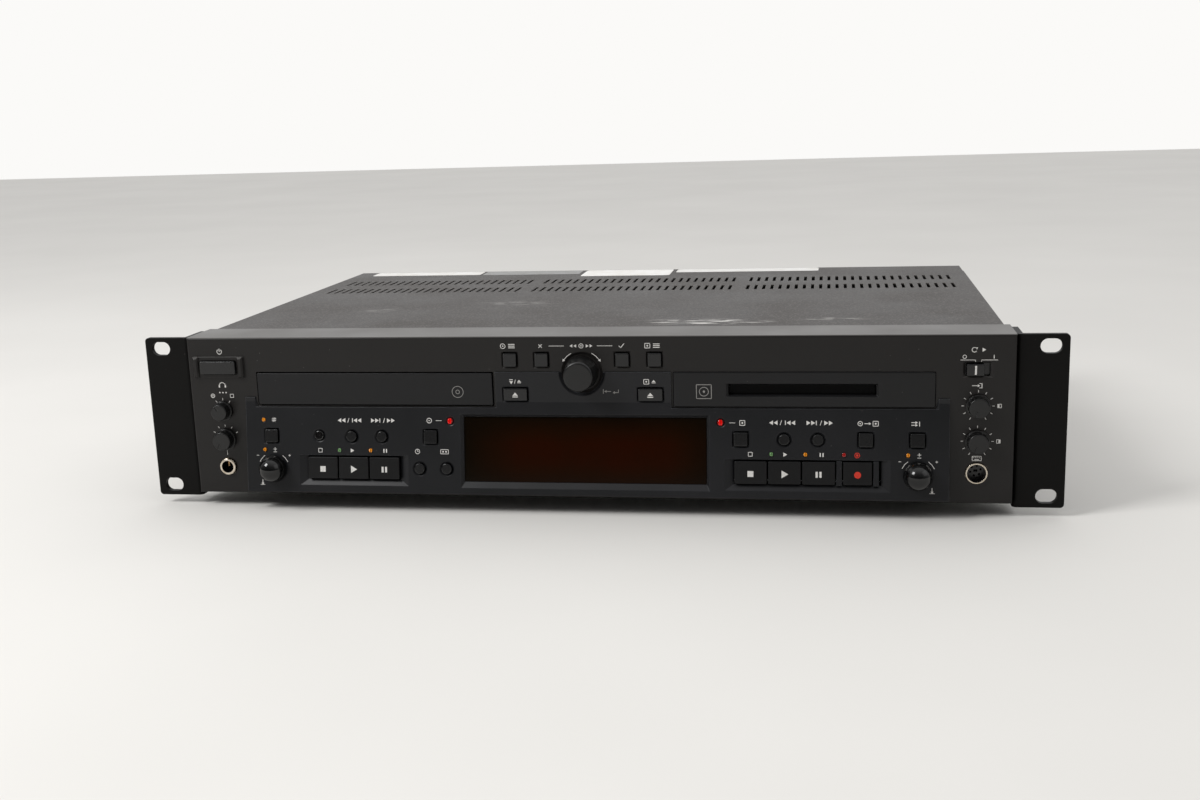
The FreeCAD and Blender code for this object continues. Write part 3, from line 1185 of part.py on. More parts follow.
def make_pitch_knob(side):
    """A glossy domed knob: a short flared foot, a straight neck and a ball shaped nose."""
    foot = cone_y(0, 0, PITCH_RADIUS, PITCH_RADIUS + PITCH_FLARE, -PITCH_LENGTH * 0.4, -PUSH_ROOM)
    nose = Part.makeSphere(PITCH_RADIUS, V(0, -PITCH_LENGTH + PITCH_RADIUS, 0))
    nose = nose.common(box(-PITCH_RADIUS, PITCH_RADIUS, -PITCH_LENGTH - 1, -PUSH_ROOM,
                           -PITCH_RADIUS, PITCH_RADIUS))
    bore = rod_y(0, 0, SHAFT_RADIUS + PIN_CLEARANCE, pitch_bore_bottom(), 1)
    return LEAN.put(cut(fuse([foot, nose]), [bore]), side * PITCH_X, PITCH_ROW)


def make_pitch_shaft(side):
    room = POT_FRONT - LEAN.depth_at(PITCH_ROW) - PUSH_ROOM
    back = room - SHAFT_RADIUS * math.sin(PANEL_LEAN) * 2 - POT_SIZE * math.sin(PANEL_LEAN)
    shaft = rod_y(0, 0, SHAFT_RADIUS, pitch_bore_bottom() + RUNNING_GAP, back)
    return LEAN.put(shaft, side * PITCH_X, PITCH_ROW)


def make_phones_jack():
    """The headphone jack: a threaded ring through the fascia and a body behind, bored for the plug."""
    front = -FASCIA_PROUD - JACK_RING_PROUD
    ring = rod_y(PHONES_X, JACK_ROW, JACK_RING_RADIUS, front, JACK_THREAD_LENGTH - FASCIA_PROUD)
    ring = ring.makeFillet(JACK_RING_ROUND, [e for e in ring.Edges if lies_at_y(e, front)])
    half = JACK_BODY_WIDTH / 2
    body = box(PHONES_X - half, PHONES_X + half, FASCIA_BACK, BOARD_DEPTH, JACK_ROW - half, JACK_ROW + half)
    bore = rod_y(PHONES_X, JACK_ROW, JACK_BORE_RADIUS, front - 1, BOARD_DEPTH - JACK_END_WALL)
    return cut(fuse([ring, body]), [bore])


def make_keyboard_socket():
    """The round keyboard socket: a metal ring round a recessed insert with six contact holes."""
    front = -FASCIA_PROUD - KEYBOARD_RING_PROUD
    floor = front + KEYBOARD_RECESS
    half = KEYBOARD_BODY_WIDTH / 2
    body = fuse([rod_y(INPUT_X, KEYBOARD_ROW, KEYBOARD_RING_RADIUS, front, FASCIA_BACK + 1),
                 box(INPUT_X - half, INPUT_X + half, FASCIA_BACK, BOARD_DEPTH,
                     KEYBOARD_ROW - half, KEYBOARD_ROW + half)])
    recess = rod_y(INPUT_X, KEYBOARD_ROW, KEYBOARD_RING_RADIUS - KEYBOARD_RING_WALL, front - 1, floor)
    contacts = []
    for i in range(KEYBOARD_CONTACTS):
        angle = 2 * math.pi * (i + 0.25) / KEYBOARD_CONTACTS
        contacts.append(rod_y(INPUT_X + KEYBOARD_CONTACT_CIRCLE * math.cos(angle),
                              KEYBOARD_ROW + KEYBOARD_CONTACT_CIRCLE * math.sin(angle),
                              KEYBOARD_CONTACT_RADIUS, floor - 1, floor + KEYBOARD_CONTACT_DEPTH))
    key_x = KEYBOARD_KEY_WIDTH / 2
    key_z = KEYBOARD_KEY_HEIGHT / 2
    key = box(INPUT_X - key_x, INPUT_X + key_x, floor - 1, floor + KEYBOARD_KEY_DEPTH,
              KEYBOARD_ROW - key_z, KEYBOARD_ROW + key_z)
    return cut(body, [recess, key] + contacts)


def phono_spots():
    columns = [PHONO_FIRST_X + i * PHONO_SPACING for i in range(PHONO_COLUMNS)]
    spots = [(x, z) for x in columns for z in (PHONO_LOW_ROW, PHONO_HIGH_ROW)]
    return spots + [(COAXIAL_X, z) for z in (PHONO_LOW_ROW, PHONO_HIGH_ROW)]


def optical_spots():
    return [(OPTICAL_X, z) for z in (PHONO_LOW_ROW, PHONO_HIGH_ROW)]


def rear_holes():
    ends = (CASE_DEPTH - CHASSIS_THICKNESS - 1, CASE_DEPTH + 1)
    holes = [rod_y(x, z, PHONO_RADIUS + SEAT_GAP, *ends) for x, z in phono_spots()]
    half = OPTICAL_SIZE / 2 + SEAT_GAP
    holes += [box(x - half, x + half, *ends, z - half, z + half) for x, z in optical_spots()]
    half_x = INLET_WIDTH / 2 + SEAT_GAP
    half_z = INLET_HEIGHT / 2 + SEAT_GAP
    inlet = box(INLET_X - half_x, INLET_X + half_x, *ends, INLET_ROW - half_z, INLET_ROW + half_z)
    return holes + [inlet]


def make_rear_sockets():
    """Phono and coaxial sockets as barrels with a centre contact, and two shuttered optical ones."""
    inside = CASE_DEPTH - CHASSIS_THICKNESS
    solids = []
    for x, z in phono_spots():
        barrel = rod_y(x, z, PHONO_RADIUS, inside, CASE_DEPTH + PHONO_LENGTH)
        collar = rod_y(x, z, PHONO_COLLAR, CASE_DEPTH, CASE_DEPTH + COVER_THICKNESS)
        body = rod_y(x, z, PHONO_COLLAR, inside - SOCKET_BODY_DEPTH, inside)
        bore = rod_y(x, z, PHONO_BORE, CASE_DEPTH, CASE_DEPTH + PHONO_LENGTH + 1)
        solids.append(cut(fuse([barrel, collar, body]), [bore]))
    for x, z in optical_spots():
        half = OPTICAL_SIZE / 2
        solids.append(box(x - half, x + half, inside - SOCKET_BODY_DEPTH, CASE_DEPTH + OPTICAL_PROUD,
                          z - half, z + half))
    return Part.makeCompound(solids)


def make_mains_inlet():
    """The mains inlet: a rim on the rear wall round a deep cavity with three blades."""
    half_x = INLET_WIDTH / 2
    half_z = INLET_HEIGHT / 2
    rim = rounded_box(INLET_X - half_x - INLET_RIM, INLET_X + half_x + INLET_RIM, CASE_DEPTH,
                      CASE_DEPTH + INLET_PROUD, INLET_ROW - half_z - INLET_RIM,
                      INLET_ROW + half_z + INLET_RIM, INLET_CORNER)
    body = box(INLET_X - half_x, INLET_X + half_x, CASE_DEPTH - INLET_DEPTH, CASE_DEPTH,
               INLET_ROW - half_z, INLET_ROW + half_z)
    cavity_x = half_x - INLET_WALL
    cavity_z = half_z - INLET_WALL
    mouth = CASE_DEPTH + INLET_PROUD
    cavity = box(INLET_X - cavity_x, INLET_X + cavity_x, mouth - INLET_CAVITY, mouth + 1,
                 INLET_ROW - cavity_z, INLET_ROW + cavity_z)
    blades = [box(INLET_X + dx - BLADE_WIDTH / 2, INLET_X + dx + BLADE_WIDTH / 2,
                  mouth - INLET_CAVITY - 1, mouth - INLET_PIN_GAP,
                  INLET_ROW + dz - BLADE_HEIGHT / 2, INLET_ROW + dz + BLADE_HEIGHT / 2)
              for dx, dz in ((-BLADE_SPACING, -BLADE_DROP), (0.0, BLADE_DROP),
                             (BLADE_SPACING, -BLADE_DROP))]
    return fuse([cut(fuse([rim, body]), [cavity])] + blades)


def standoffs(x0, x1, y0, y1):
    """Four posts under a board's corners, from the case sole to the board."""
    foot = CASE_BOTTOM + CHASSIS_THICKNESS
    return [rod_z(x, y, STANDOFF_RADIUS, foot, MAIN_BOARD_HEIGHT)
            for x in (x0 + STANDOFF_INSET, x1 - STANDOFF_INSET)
            for y in (y0 + STANDOFF_INSET, y1 - STANDOFF_INSET)]


def make_main_board():
    """The main circuit board on four standoffs, with its largest chips and capacitors."""
    top = MAIN_BOARD_HEIGHT + BOARD_THICKNESS
    back = CASE_DEPTH - MAIN_BOARD_REAR_MARGIN
    ends = (MAIN_BOARD_START_X, MAIN_BOARD_END_X, MAIN_BOARD_FRONT, back)
    board = box(*ends, MAIN_BOARD_HEIGHT, top)
    middle = (MAIN_BOARD_START_X + MAIN_BOARD_END_X) / 2
    half = CHIP_SIZE / 2
    chip_front = MAIN_BOARD_FRONT + CHIP_FRONT
    chips = [box(middle + i * CHIP_SPACING - half, middle + i * CHIP_SPACING + half,
                 chip_front, chip_front + CHIP_SIZE, top, top + CHIP_HEIGHT)
             for i in (-1.5, -0.5, 0.5, 1.5)]
    cans = [rod_z(middle + i * CAN_SPACING, back - CAN_MARGIN, CAN_RADIUS, top, top + CAN_HEIGHT)
            for i in (-3, -2, -1, 1, 2, 3)]
    return fuse([board] + chips + cans + standoffs(*ends))


def make_power_supply():
    """The power supply board on standoffs, with its transformer and reservoir capacitors."""
    top = MAIN_BOARD_HEIGHT + BOARD_THICKNESS
    back = CASE_DEPTH - SUPPLY_REAR_MARGIN
    front = back - SUPPLY_LENGTH
    ends = (SUPPLY_START_X, SUPPLY_END_X, front, back)
    board = box(*ends, MAIN_BOARD_HEIGHT, top)
    middle = (SUPPLY_START_X + SUPPLY_END_X) / 2
    half = TRANSFORMER_SIZE / 2
    core_front = front + TRANSFORMER_FRONT
    core = box(middle - half, middle + half, core_front, core_front + TRANSFORMER_SIZE,
               top, top + TRANSFORMER_HEIGHT)
    tanks = [rod_z(middle + i * TANK_SPACING, back - CAN_MARGIN, TANK_RADIUS, top, top + TANK_HEIGHT)
             for i in (-1, 0, 1)]
    return fuse([board, core] + tanks + standoffs(*ends))


def build_nodes():
    nodes = {
        "chassis": make_chassis(),
        "top_cover": make_cover(),
        "front_fascia": make_fascia(),
        "control_panel": make_control_panel(),
        "display_window": make_window(),
        "front_board": make_front_board(),
        "md_bezel": make_bezel(),
        "md_slot_flap": make_flap(),
        "rack_ear_left": make_ear(-1),
        "rack_ear_right": make_ear(1),
        "feet": make_feet(),
        "case_screws": Part.makeCompound([screw.solid() for screw in SCREWS]),
        "disc_tray": make_tray(),
        "tray_door": make_tray_door(),
        "tray_pinion": make_pinion(),
        "cd_drive": make_cd_drive(),
        "md_drive": make_md_drive(),
        "main_board": make_main_board(),
        "power_supply": make_power_supply(),
        "phones_jack": make_phones_jack(),
        "keyboard_socket": make_keyboard_socket(),
        "rear_sockets": make_rear_sockets(),
        "mains_inlet": make_mains_inlet(),
        "panel_lenses": make_lenses(),
        "continuous_play_switch": make_switch_cap(),
        "jog_knob": make_jog_knob(),
        "jog_shaft": make_jog_shaft(),
    }
    for word, side in (("cd", -1), ("md", 1)):
        nodes[f"{word}_pitch_knob"] = make_pitch_knob(side)
        nodes[f"{word}_pitch_shaft"] = make_pitch_shaft(side)
    for name, *spot in SMALL_KNOBS:
        nodes[name] = make_small_knob(*spot)
    for button in BUTTONS + [POWER]:
        nodes[button.name] = button.cap()
    for name, x0, width in KEYS:
        nodes[name] = transport_key(x0, width)
    return nodes


def stand_on_floor(nodes):
    """Set the deck on its feet at height zero, with the middle of its plan at the origin."""
    bounds = Part.makeCompound(list(nodes.values())).optimalBoundingBox()
    shift = V(0, -(bounds.YMin + bounds.YMax) / 2, -bounds.ZMin)
    for shape in nodes.values():
        shape.translate(shift)
    return shift


NODES = build_nodes()
SHIFT = stand_on_floor(NODES)
os.makedirs("parts", exist_ok=True)
for node_name, node_shape in NODES.items():
    node_shape.exportStep(f"parts/{node_name}.step")
print(len(NODES), "pieces, ear plane at y", round(SHIFT.y, 3), "and ear foot at z", round(SHIFT.z, 3))
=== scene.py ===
# %% [markdown]
# # A rack mounted player deck, dressed for a studio picture
#
# The deck is a dark box two rack units high. Its solids come from a CAD model, in metres, and
# this script never moves or reshapes them. It gives each one a finish, adds what is printed or
# stuck on it, and sets up a plain studio round it.

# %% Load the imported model
import math

import bpy
from mathutils import Matrix, Vector


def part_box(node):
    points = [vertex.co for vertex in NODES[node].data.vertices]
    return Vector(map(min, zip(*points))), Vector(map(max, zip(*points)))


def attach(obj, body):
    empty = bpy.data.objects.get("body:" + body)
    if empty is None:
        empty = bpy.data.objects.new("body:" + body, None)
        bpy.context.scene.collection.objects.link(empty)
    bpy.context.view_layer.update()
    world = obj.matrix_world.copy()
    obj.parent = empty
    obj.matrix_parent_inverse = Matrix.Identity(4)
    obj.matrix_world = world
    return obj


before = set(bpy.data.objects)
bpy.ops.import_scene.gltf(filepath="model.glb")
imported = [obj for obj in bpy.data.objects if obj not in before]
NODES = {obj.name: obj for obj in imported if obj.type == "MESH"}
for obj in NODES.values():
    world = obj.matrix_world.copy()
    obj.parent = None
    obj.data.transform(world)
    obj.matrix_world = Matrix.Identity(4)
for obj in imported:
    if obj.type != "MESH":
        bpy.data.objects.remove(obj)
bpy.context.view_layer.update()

# %% [markdown]
# ## Where things are
#
# The drawing of the deck measures from the front plane of the rack ears and from their lower
# edge, in millimetres. The loaded solids tell us where that corner is, so every mark below can
# be placed with the same numbers as on the drawing. The lower half of the front leans out
# towards its foot, like a desk, by 6.8 mm over 48.4 mm of height.

# %% Millimetres on the drawing
MM = 0.001
EAR_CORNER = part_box("rack_ear_left")[0]
ORIGIN_Y = EAR_CORNER.y
ORIGIN_Z = EAR_CORNER.z
FASCIA_DEPTH = -3.0
PANEL_DEPTH = -3.8
LEAN_SLOPE = 6.8 / 48.4
LEAN_TOP = 54.0
SIDES = (-1, 1)
PHONES_COLUMN = -198.1
INPUT_COLUMN = 198.2
PITCH_COLUMN = 169.5
JOG_ROW = 69.6


def place(x, y, z):
    """A point of the drawing as a point of the scene."""
    return Vector((x * MM, ORIGIN_Y + y * MM, ORIGIN_Z + z * MM))


print("drawing corner at", tuple(round(v / MM, 2) for v in EAR_CORNER), "mm")

# %% [markdown]
# ## The camera
#
# A product picture like this is taken from slightly above and to the right of the middle, so
# that the lid shows. A lens of about 41 mm on a 36 mm wide sensor keeps the verticals natural.

# %% Camera
CAMERA_TURN = (77.772, 1.865, 9.348)
bpy.ops.object.camera_add(location=place(126.06, -684.25, 204.84),
                          rotation=[math.radians(a) for a in CAMERA_TURN])
camera = bpy.context.object
camera.name = "studio_camera"
camera.data.sensor_width = 36.0
camera.data.lens = 1370.1 / 1200 * camera.data.sensor_width
camera.data.dof.use_dof = False
bpy.context.scene.camera = camera
bpy.context.scene.view_settings.view_transform = "Standard"
print("lens", round(camera.data.lens, 1), "mm")

# %% [markdown]
# ## Colours and nodes
#
# Colours are written as on a paint chip, in sRGB, and one function turns them into the linear
# numbers that Blender works with. One helper adds a shader node with its settings, its fixed
# values and its links, which keeps each material short enough to read.

# %% Helpers for materials
def linear(chip):
    """An sRGB hex colour as linear red, green and blue, with full alpha."""
    channels = [int(chip[i:i + 2], 16) / 255 for i in (1, 3, 5)]
    return [c / 12.92 if c <= 0.04045 else ((c + 0.055) / 1.055) ** 2.4 for c in channels] + [1.0]


def add(tree, kind, settings=None, values=None, links=None):
    """One node, with its settings, the values of its unlinked inputs and its links."""
    made = tree.nodes.new(kind)
    for name, value in (settings or {}).items():
        setattr(made, name, value)
    for name, value in (values or {}).items():
        made.inputs[name].default_value = value
    for name, socket in (links or {}).items():
        tree.links.new(socket, made.inputs[name])
    return made


def new_material(name):
    """A new material, its node tree, its Principled shader and the object's coordinates."""
    material = bpy.data.materials.new(name)
    material.use_nodes = True
    tree = material.node_tree
    return material, tree, tree.nodes["Principled BSDF"], add(tree, "ShaderNodeTexCoord").outputs["Object"]


def ramp(tree, factor, stops, interpolation="LINEAR"):
    """A colour ramp fed by a socket: stops are (position, colour) pairs."""
    made = add(tree, "ShaderNodeValToRGB", links={0: factor})
    made.color_ramp.interpolation = interpolation
    for position, colour in stops[1:-1]:
        made.color_ramp.elements.new(position)
    for element, (position, colour) in zip(made.color_ramp.elements, stops):
        element.position = position
        element.color = colour
    return made.outputs["Color"]


def grey(level):
    """A neutral tone for masks and weights."""
    return (level, level, level, 1.0)


def per_metre(size_mm):
    """The scale of a pattern whose grains are this many millimetres across."""
    return 1000.0 / size_mm


# %% [markdown]
# ## Edges
#
# On a dark object the eye reads the shape from its edges. Every real edge is a little rounded,
# so it catches a line of light, and it is also where the surface wears first. The Bevel node
# gives both: a normal that turns smoothly across an edge, and, where that normal differs from
# the flat one, a mask of the edges.
# Where the mask is one, the colour is lightened towards a pale chip: rubbed wear, and also a painted
# highlight along the edge.

# %% Rounded edges, their wear and their painted highlight
BEVEL_SAMPLES = 6
EDGE_PATCH = 6.0


def rounded_normal(tree, radius_mm):
    """A normal that is rounded across the edges of the mesh."""
    bevel = add(tree, "ShaderNodeBevel", {"samples": BEVEL_SAMPLES}, {"Radius": radius_mm * MM})
    return bevel.outputs["Normal"]


def edge_mask(tree, rounded, where):
    """One along the edges, where wear and a painted highlight go, nought on flat faces, broken up by a
    noise.
    """
    flat = add(tree, "ShaderNodeNewGeometry").outputs["Normal"]
    likeness = add(tree, "ShaderNodeVectorMath", {"operation": "DOT_PRODUCT"},
                   links={0: rounded, 1: flat}).outputs["Value"]
    turned = ramp(tree, likeness, [(0.72, grey(1.0)), (0.97, grey(0.0))])
    patches = add(tree, "ShaderNodeTexNoise", values={"Scale": per_metre(EDGE_PATCH), "Detail": 4.0},
                  links={"Vector": where}).outputs["Fac"]
    patchy = ramp(tree, patches, [(0.35, grey(0.15)), (0.65, grey(1.0))])
    return add(tree, "ShaderNodeMath", {"operation": "MULTIPLY"}, links={0: turned, 1: patchy}).outputs[0]


def blend_to(tree, amount, base, chip):
    """A colour socket blended towards a fixed colour by an amount socket."""
    mixed = add(tree, "ShaderNodeMix", {"data_type": "RGBA"}, links={"Factor": amount, 6: base})
    mixed.inputs[7].default_value = linear(chip)
    return mixed.outputs[2]


# %% [markdown]
# ## Moulded and painted blacks
#
# Nearly all of the deck is black, so the eye tells its pieces apart by sheen and texture. The front is
# moulded ABS with a fine spark-eroded grain, the lid is steel with a rough textured coat, and the rack ears
# have a smoother powder coat. All come from one recipe: a base colour that drifts a little, a roughness that
# drifts with it, a bump of grains at a real size, light specks of dust, upward faces lightened by settled
# dust and a painted sheen, and rubbed edges that are also lightened as a painted highlight.

# %% Black finishes
# the dust colour, also used for the painted sheen on upward faces
DUST_AND_SHEEN_CHIP = "#8f8b86"
DUST_SPACING = 4.5
DUST_PATCH = 30.0
TONE_PATCH = 55.0


def black_finish(name, chip, drift_chip, roughness, grain_mm, grain_height_mm, dust=0.0,
                 specular=0.5, edge_mm=0.4, wear_and_glint=0.5, wear_and_glint_chip="#5c5a58", fleck=0.0, top_dust_and_sheen=0.0):
    """A black surface with drifting tone, a grain, dust specks, upward faces lightened by dust and a painted
    sheen, and rubbed edges lightened by a painted highlight.
    """
    material, tree, shader, where = new_material(name)
    drift = add(tree, "ShaderNodeTexNoise", values={"Scale": per_metre(TONE_PATCH), "Detail": 4.0},
                links={"Vector": where}).outputs["Fac"]
    base = ramp(tree, drift, [(0.35, linear(chip)), (0.7, linear(drift_chip))])
    grain = add(tree, "ShaderNodeTexNoise", values={"Scale": per_metre(grain_mm), "Detail": 3.0},
                links={"Vector": where}).outputs["Fac"]
    if fleck:
        tips = ramp(tree, grain, [(0.5, grey(0.0)), (0.72, grey(fleck))])
        base = blend_to(tree, tips, base, DUST_AND_SHEEN_CHIP)
    if dust:
        cells = add(tree, "ShaderNodeTexVoronoi", values={"Scale": per_metre(DUST_SPACING)},
                    links={"Vector": where}).outputs["Distance"]
        patches = add(tree, "ShaderNodeTexNoise", values={"Scale": per_metre(DUST_PATCH), "Detail": 5.0},
                      links={"Vector": where}).outputs["Fac"]
        specks = ramp(tree, cells, [(0.03, grey(1.0)), (0.06, grey(0.0))])
        spread = ramp(tree, patches, [(0.5, grey(0.0)), (0.62, grey(dust))])
        amount = add(tree, "ShaderNodeMath", {"operation": "MULTIPLY"},
                     links={0: specks, 1: spread}).outputs[0]
        base = blend_to(tree, amount, base, DUST_AND_SHEEN_CHIP)
    # upward faces lightened towards the dust colour: settled dust, and a painted sheen of the pale surround
    # on the tops
    if top_dust_and_sheen:
        facing = add(tree, "ShaderNodeNewGeometry").outputs["Normal"]
        upward = add(tree, "ShaderNodeSeparateXYZ", links={0: facing}).outputs["Z"]
        film = ramp(tree, upward, [(0.6, grey(0.0)), (0.95, grey(top_dust_and_sheen))])
        base = blend_to(tree, film, base, DUST_AND_SHEEN_CHIP)
    rounded = rounded_normal(tree, edge_mm)
    # edges lightened towards a pale chip: wear, and a painted highlight
    edge_wear_and_glint = add(tree, "ShaderNodeMath", {"operation": "MULTIPLY"}, {1: wear_and_glint},
               {0: edge_mask(tree, rounded, where)}).outputs[0]
    base = blend_to(tree, edge_wear_and_glint, base, wear_and_glint_chip)
    rough = add(tree, "ShaderNodeMapRange",
                values={"From Min": 0.3, "From Max": 0.7, "To Min": roughness - 0.05,
                        "To Max": roughness + 0.07}, links={"Value": drift}).outputs["Result"]
    bump = add(tree, "ShaderNodeBump", values={"Strength": 1.0, "Distance": grain_height_mm * MM},
               links={"Height": grain, "Normal": rounded}).outputs["Normal"]
    tree.links.new(base, shader.inputs["Base Color"])
    tree.links.new(rough, shader.inputs["Roughness"])
    tree.links.new(bump, shader.inputs["Normal"])
    shader.inputs["Specular IOR Level"].default_value = specular
    return material


# Spark-eroded ABS: the grain is drawn at 0.5 mm, coarser than the real 0.1 mm, so that it shows.
# Its upward faces also get the dust colour as settled dust and a painted sheen.
FASCIA_BLACK = black_finish("spark_eroded_black_abs", "#181615", "#1d1b1a", roughness=0.38, grain_mm=0.5,
                            grain_height_mm=0.012, dust=0.35, specular=0.3, top_dust_and_sheen=0.3)
# The panel's ABS has a silkier grain; its slightly cooler tone is a painted reflection of the pale surround
# on its leaning face.
PANEL_BLACK = black_finish("satin_black_abs_painted_cool_sheen", "#141517", "#19191c", roughness=0.36, grain_mm=0.45,
                           grain_height_mm=0.008, dust=0.25, specular=0.32, edge_mm=0.45, wear_and_glint=0.6,
                           wear_and_glint_chip="#74777c")
# Bay covers are the same plastic as the panel, a touch darker.
BAY_BLACK = black_finish("satin_dark_abs", "#131314", "#171719", roughness=0.38, grain_mm=0.45,
                         grain_height_mm=0.008, dust=0.25, specular=0.3)
# Textured enamel on steel: pebbles about a millimetre apart, whose tips are lightened towards a pale grey.
LID_BLACK = black_finish("textured_black_enamel", "#27221f", "#302a26", roughness=0.55, grain_mm=1.1,
                         grain_height_mm=0.12, dust=0.8, specular=0.5, edge_mm=0.5, wear_and_glint=0.7,
                         wear_and_glint_chip="#8a857f", fleck=0.3)
# Powder coat on bent steel, smoother than the lid.
EAR_BLACK = black_finish("black_powder_coat", "#090807", "#0c0b0a", roughness=0.5, grain_mm=0.6,
                         grain_height_mm=0.014, dust=0.3, specular=0.14, edge_mm=0.35)
# Small caps are moulded in polished tools, keys and knobs in rougher ones.
# Their pale edge chip also paints the highlights on the caps' rims.
CAP_BLACK = black_finish("moulded_black_cap", "#0e0e0f", "#121213", roughness=0.24, grain_mm=0.3,
                         grain_height_mm=0.004, specular=0.45, edge_mm=0.45, wear_and_glint=0.6, wear_and_glint_chip="#7a7874")
KEY_BLACK = black_finish("matt_black_key", "#0e0e0f", "#121213", roughness=0.38, grain_mm=0.35,
                         grain_height_mm=0.006, dust=0.15, specular=0.28, edge_mm=0.3)
KNOB_BLACK = black_finish("soft_black_knob", "#0b0b0b", "#0f0f0f", roughness=0.3, grain_mm=0.3,
                          grain_height_mm=0.004, specular=0.45)
# Polished ABS has next to no grain, so its highlights stay sharp.
GLOSS_BLACK = black_finish("polished_black_abs", "#050505", "#080808", roughness=0.1, grain_mm=1.5,
                           grain_height_mm=0.0006, edge_mm=0.2, wear_and_glint=0.0)
# The slot's flap is matt and swallows most of the light.
SLOT_BLACK = black_finish("slot_flap_black", "#050505", "#070707", roughness=0.6, grain_mm=0.4,
                          grain_height_mm=0.006, specular=0.1, edge_mm=0.3, wear_and_glint=0.2)
RUBBER = black_finish("black_rubber", "#151515", "#1b1b1b", roughness=0.78, grain_mm=0.8,
                      grain_height_mm=0.02, dust=0.2, specular=0.3)
SOCKET_BLACK = black_finish("socket_black_nylon", "#0d0d0d", "#121212", roughness=0.5, grain_mm=0.4,
                            grain_height_mm=0.006, specular=0.4)


# %% [markdown]
# The lid was slid in and out of racks, which left a cluster of bright scratches near its front
# edge and a few faint ones further back. They are a noise stretched across the lid, let through
# only inside soft patches whose middles and sizes are given in millimetres.

# %% Scratches on the lid
SCRATCH_TURN = 14.0
SCRATCH_STRETCH = 0.16
# each patch has the x and y of its middle, its width, its depth and its strength
SCRATCH_PATCHES = [(58.0, 45.0, 84.0, 24.0, 1.0), (128.0, 52.0, 44.0, 12.0, 0.5),
                   (-60.0, 120.0, 60.0, 24.0, 0.3), (-140.0, 95.0, 40.0, 18.0, 0.25)]


def add_scratches(material):
    """Bright stretched scratches over what a black finish already has as its colour."""
    tree = material.node_tree
    shader = tree.nodes["Principled BSDF"]
    base = shader.inputs["Base Color"].links[0].from_socket
    where = add(tree, "ShaderNodeTexCoord").outputs["Object"]
    drawn = add(tree, "ShaderNodeMapping", links={"Vector": where})
    drawn.inputs["Rotation"].default_value = (0.0, 0.0, math.radians(SCRATCH_TURN))
    drawn.inputs["Scale"].default_value = (SCRATCH_STRETCH, 1.0, 0.0)
    lines = add(tree, "ShaderNodeTexNoise", values={"Scale": per_metre(2.2), "Detail": 2.0},
                links={"Vector": drawn.outputs[0]}).outputs["Fac"]
    cuts = ramp(tree, lines, [(0.54, grey(0.0)), (0.6, grey(1.0))])
    total = None
    for x, y, width, depth, strength in SCRATCH_PATCHES:
        middle = place(x, y, 0)
        shifted = add(tree, "ShaderNodeVectorMath", {"operation": "SUBTRACT"},
                      {1: (middle.x, middle.y, 0.0)}, {0: where}).outputs[0]
        scaled = add(tree, "ShaderNodeVectorMath", {"operation": "MULTIPLY"},
                     {1: (per_metre(width / 2), per_metre(depth / 2), 0.0)}, {0: shifted}).outputs[0]
        far = add(tree, "ShaderNodeVectorMath", {"operation": "LENGTH"}, links={0: scaled}).outputs["Value"]
        patch = ramp(tree, far, [(0.35, grey(strength)), (1.0, grey(0.0))])
        if total:
            patch = add(tree, "ShaderNodeMath", {"operation": "MAXIMUM"},
                        links={0: total, 1: patch}).outputs[0]
        total = patch
    shown = add(tree, "ShaderNodeMath", {"operation": "MULTIPLY"}, links={0: cuts, 1: total}).outputs[0]
    tree.links.new(blend_to(tree, shown, base, "#d8d5d0"), shader.inputs["Base Color"])


add_scratches(LID_BLACK)


def finish(material, *names):
    """Give CAD nodes a material."""
    for name in names:
        slots = NODES[name].data.materials
        slots.clear()
        slots.append(material)


finish(FASCIA_BLACK, "front_fascia")
finish(PANEL_BLACK, "control_panel")
finish(BAY_BLACK, "tray_door", "md_bezel", "disc_tray")
finish(SLOT_BLACK, "md_slot_flap")
finish(LID_BLACK, "top_cover")
finish(EAR_BLACK, "rack_ear_left", "rack_ear_right")
finish(RUBBER, "feet")
BUTTONS = [name for name in NODES if name.endswith("_button")]
KEYS = [name for name in NODES if name.endswith("_key")]
finish(CAP_BLACK, *BUTTONS, "continuous_play_switch")
finish(KEY_BLACK, *KEYS)
finish(KNOB_BLACK, "phones_selector_knob", "phones_level_knob", "input_left_knob",
       "input_right_knob", "jog_knob")
finish(GLOSS_BLACK, "cd_pitch_knob", "md_pitch_knob")
finish(SOCKET_BLACK, "mains_inlet")
print(len(BUTTONS), "buttons and", len(KEYS), "keys are black")

# %% [markdown]
# ## Metal, sockets, boards and window
#
# Bare metals keep the default index of refraction and full metallic. Plated steel has faint
# rolling marks, which are a noise stretched along one direction.

# %% Metals
def plated_metal(name, chip, drift_chip, roughness, stretch=(1.0, 1.0, 1.0)):
    """A plated or rolled metal with fine directional marks."""
    material, tree, shader, where = new_material(name)
    turned = add(tree, "ShaderNodeMapping", links={"Vector": where})
    turned.inputs["Scale"].default_value = stretch
    marks = add(tree, "ShaderNodeTexNoise", values={"Scale": per_metre(1.2), "Detail": 4.0},
                links={"Vector": turned.outputs[0]}).outputs["Fac"]
    base = ramp(tree, marks, [(0.3, linear(chip)), (0.7, linear(drift_chip))])
    rough = add(tree, "ShaderNodeMapRange", values={"To Min": roughness * 0.7, "To Max": roughness * 1.3},
                links={"Value": marks}).outputs["Result"]
    bump = add(tree, "ShaderNodeBump", values={"Strength": 0.6, "Distance": 0.004 * MM},
               links={"Height": marks}).outputs["Normal"]
    tree.links.new(base, shader.inputs["Base Color"])
    tree.links.new(rough, shader.inputs["Roughness"])
    tree.links.new(bump, shader.inputs["Normal"])
    shader.inputs["Metallic"].default_value = 1.0
    return material


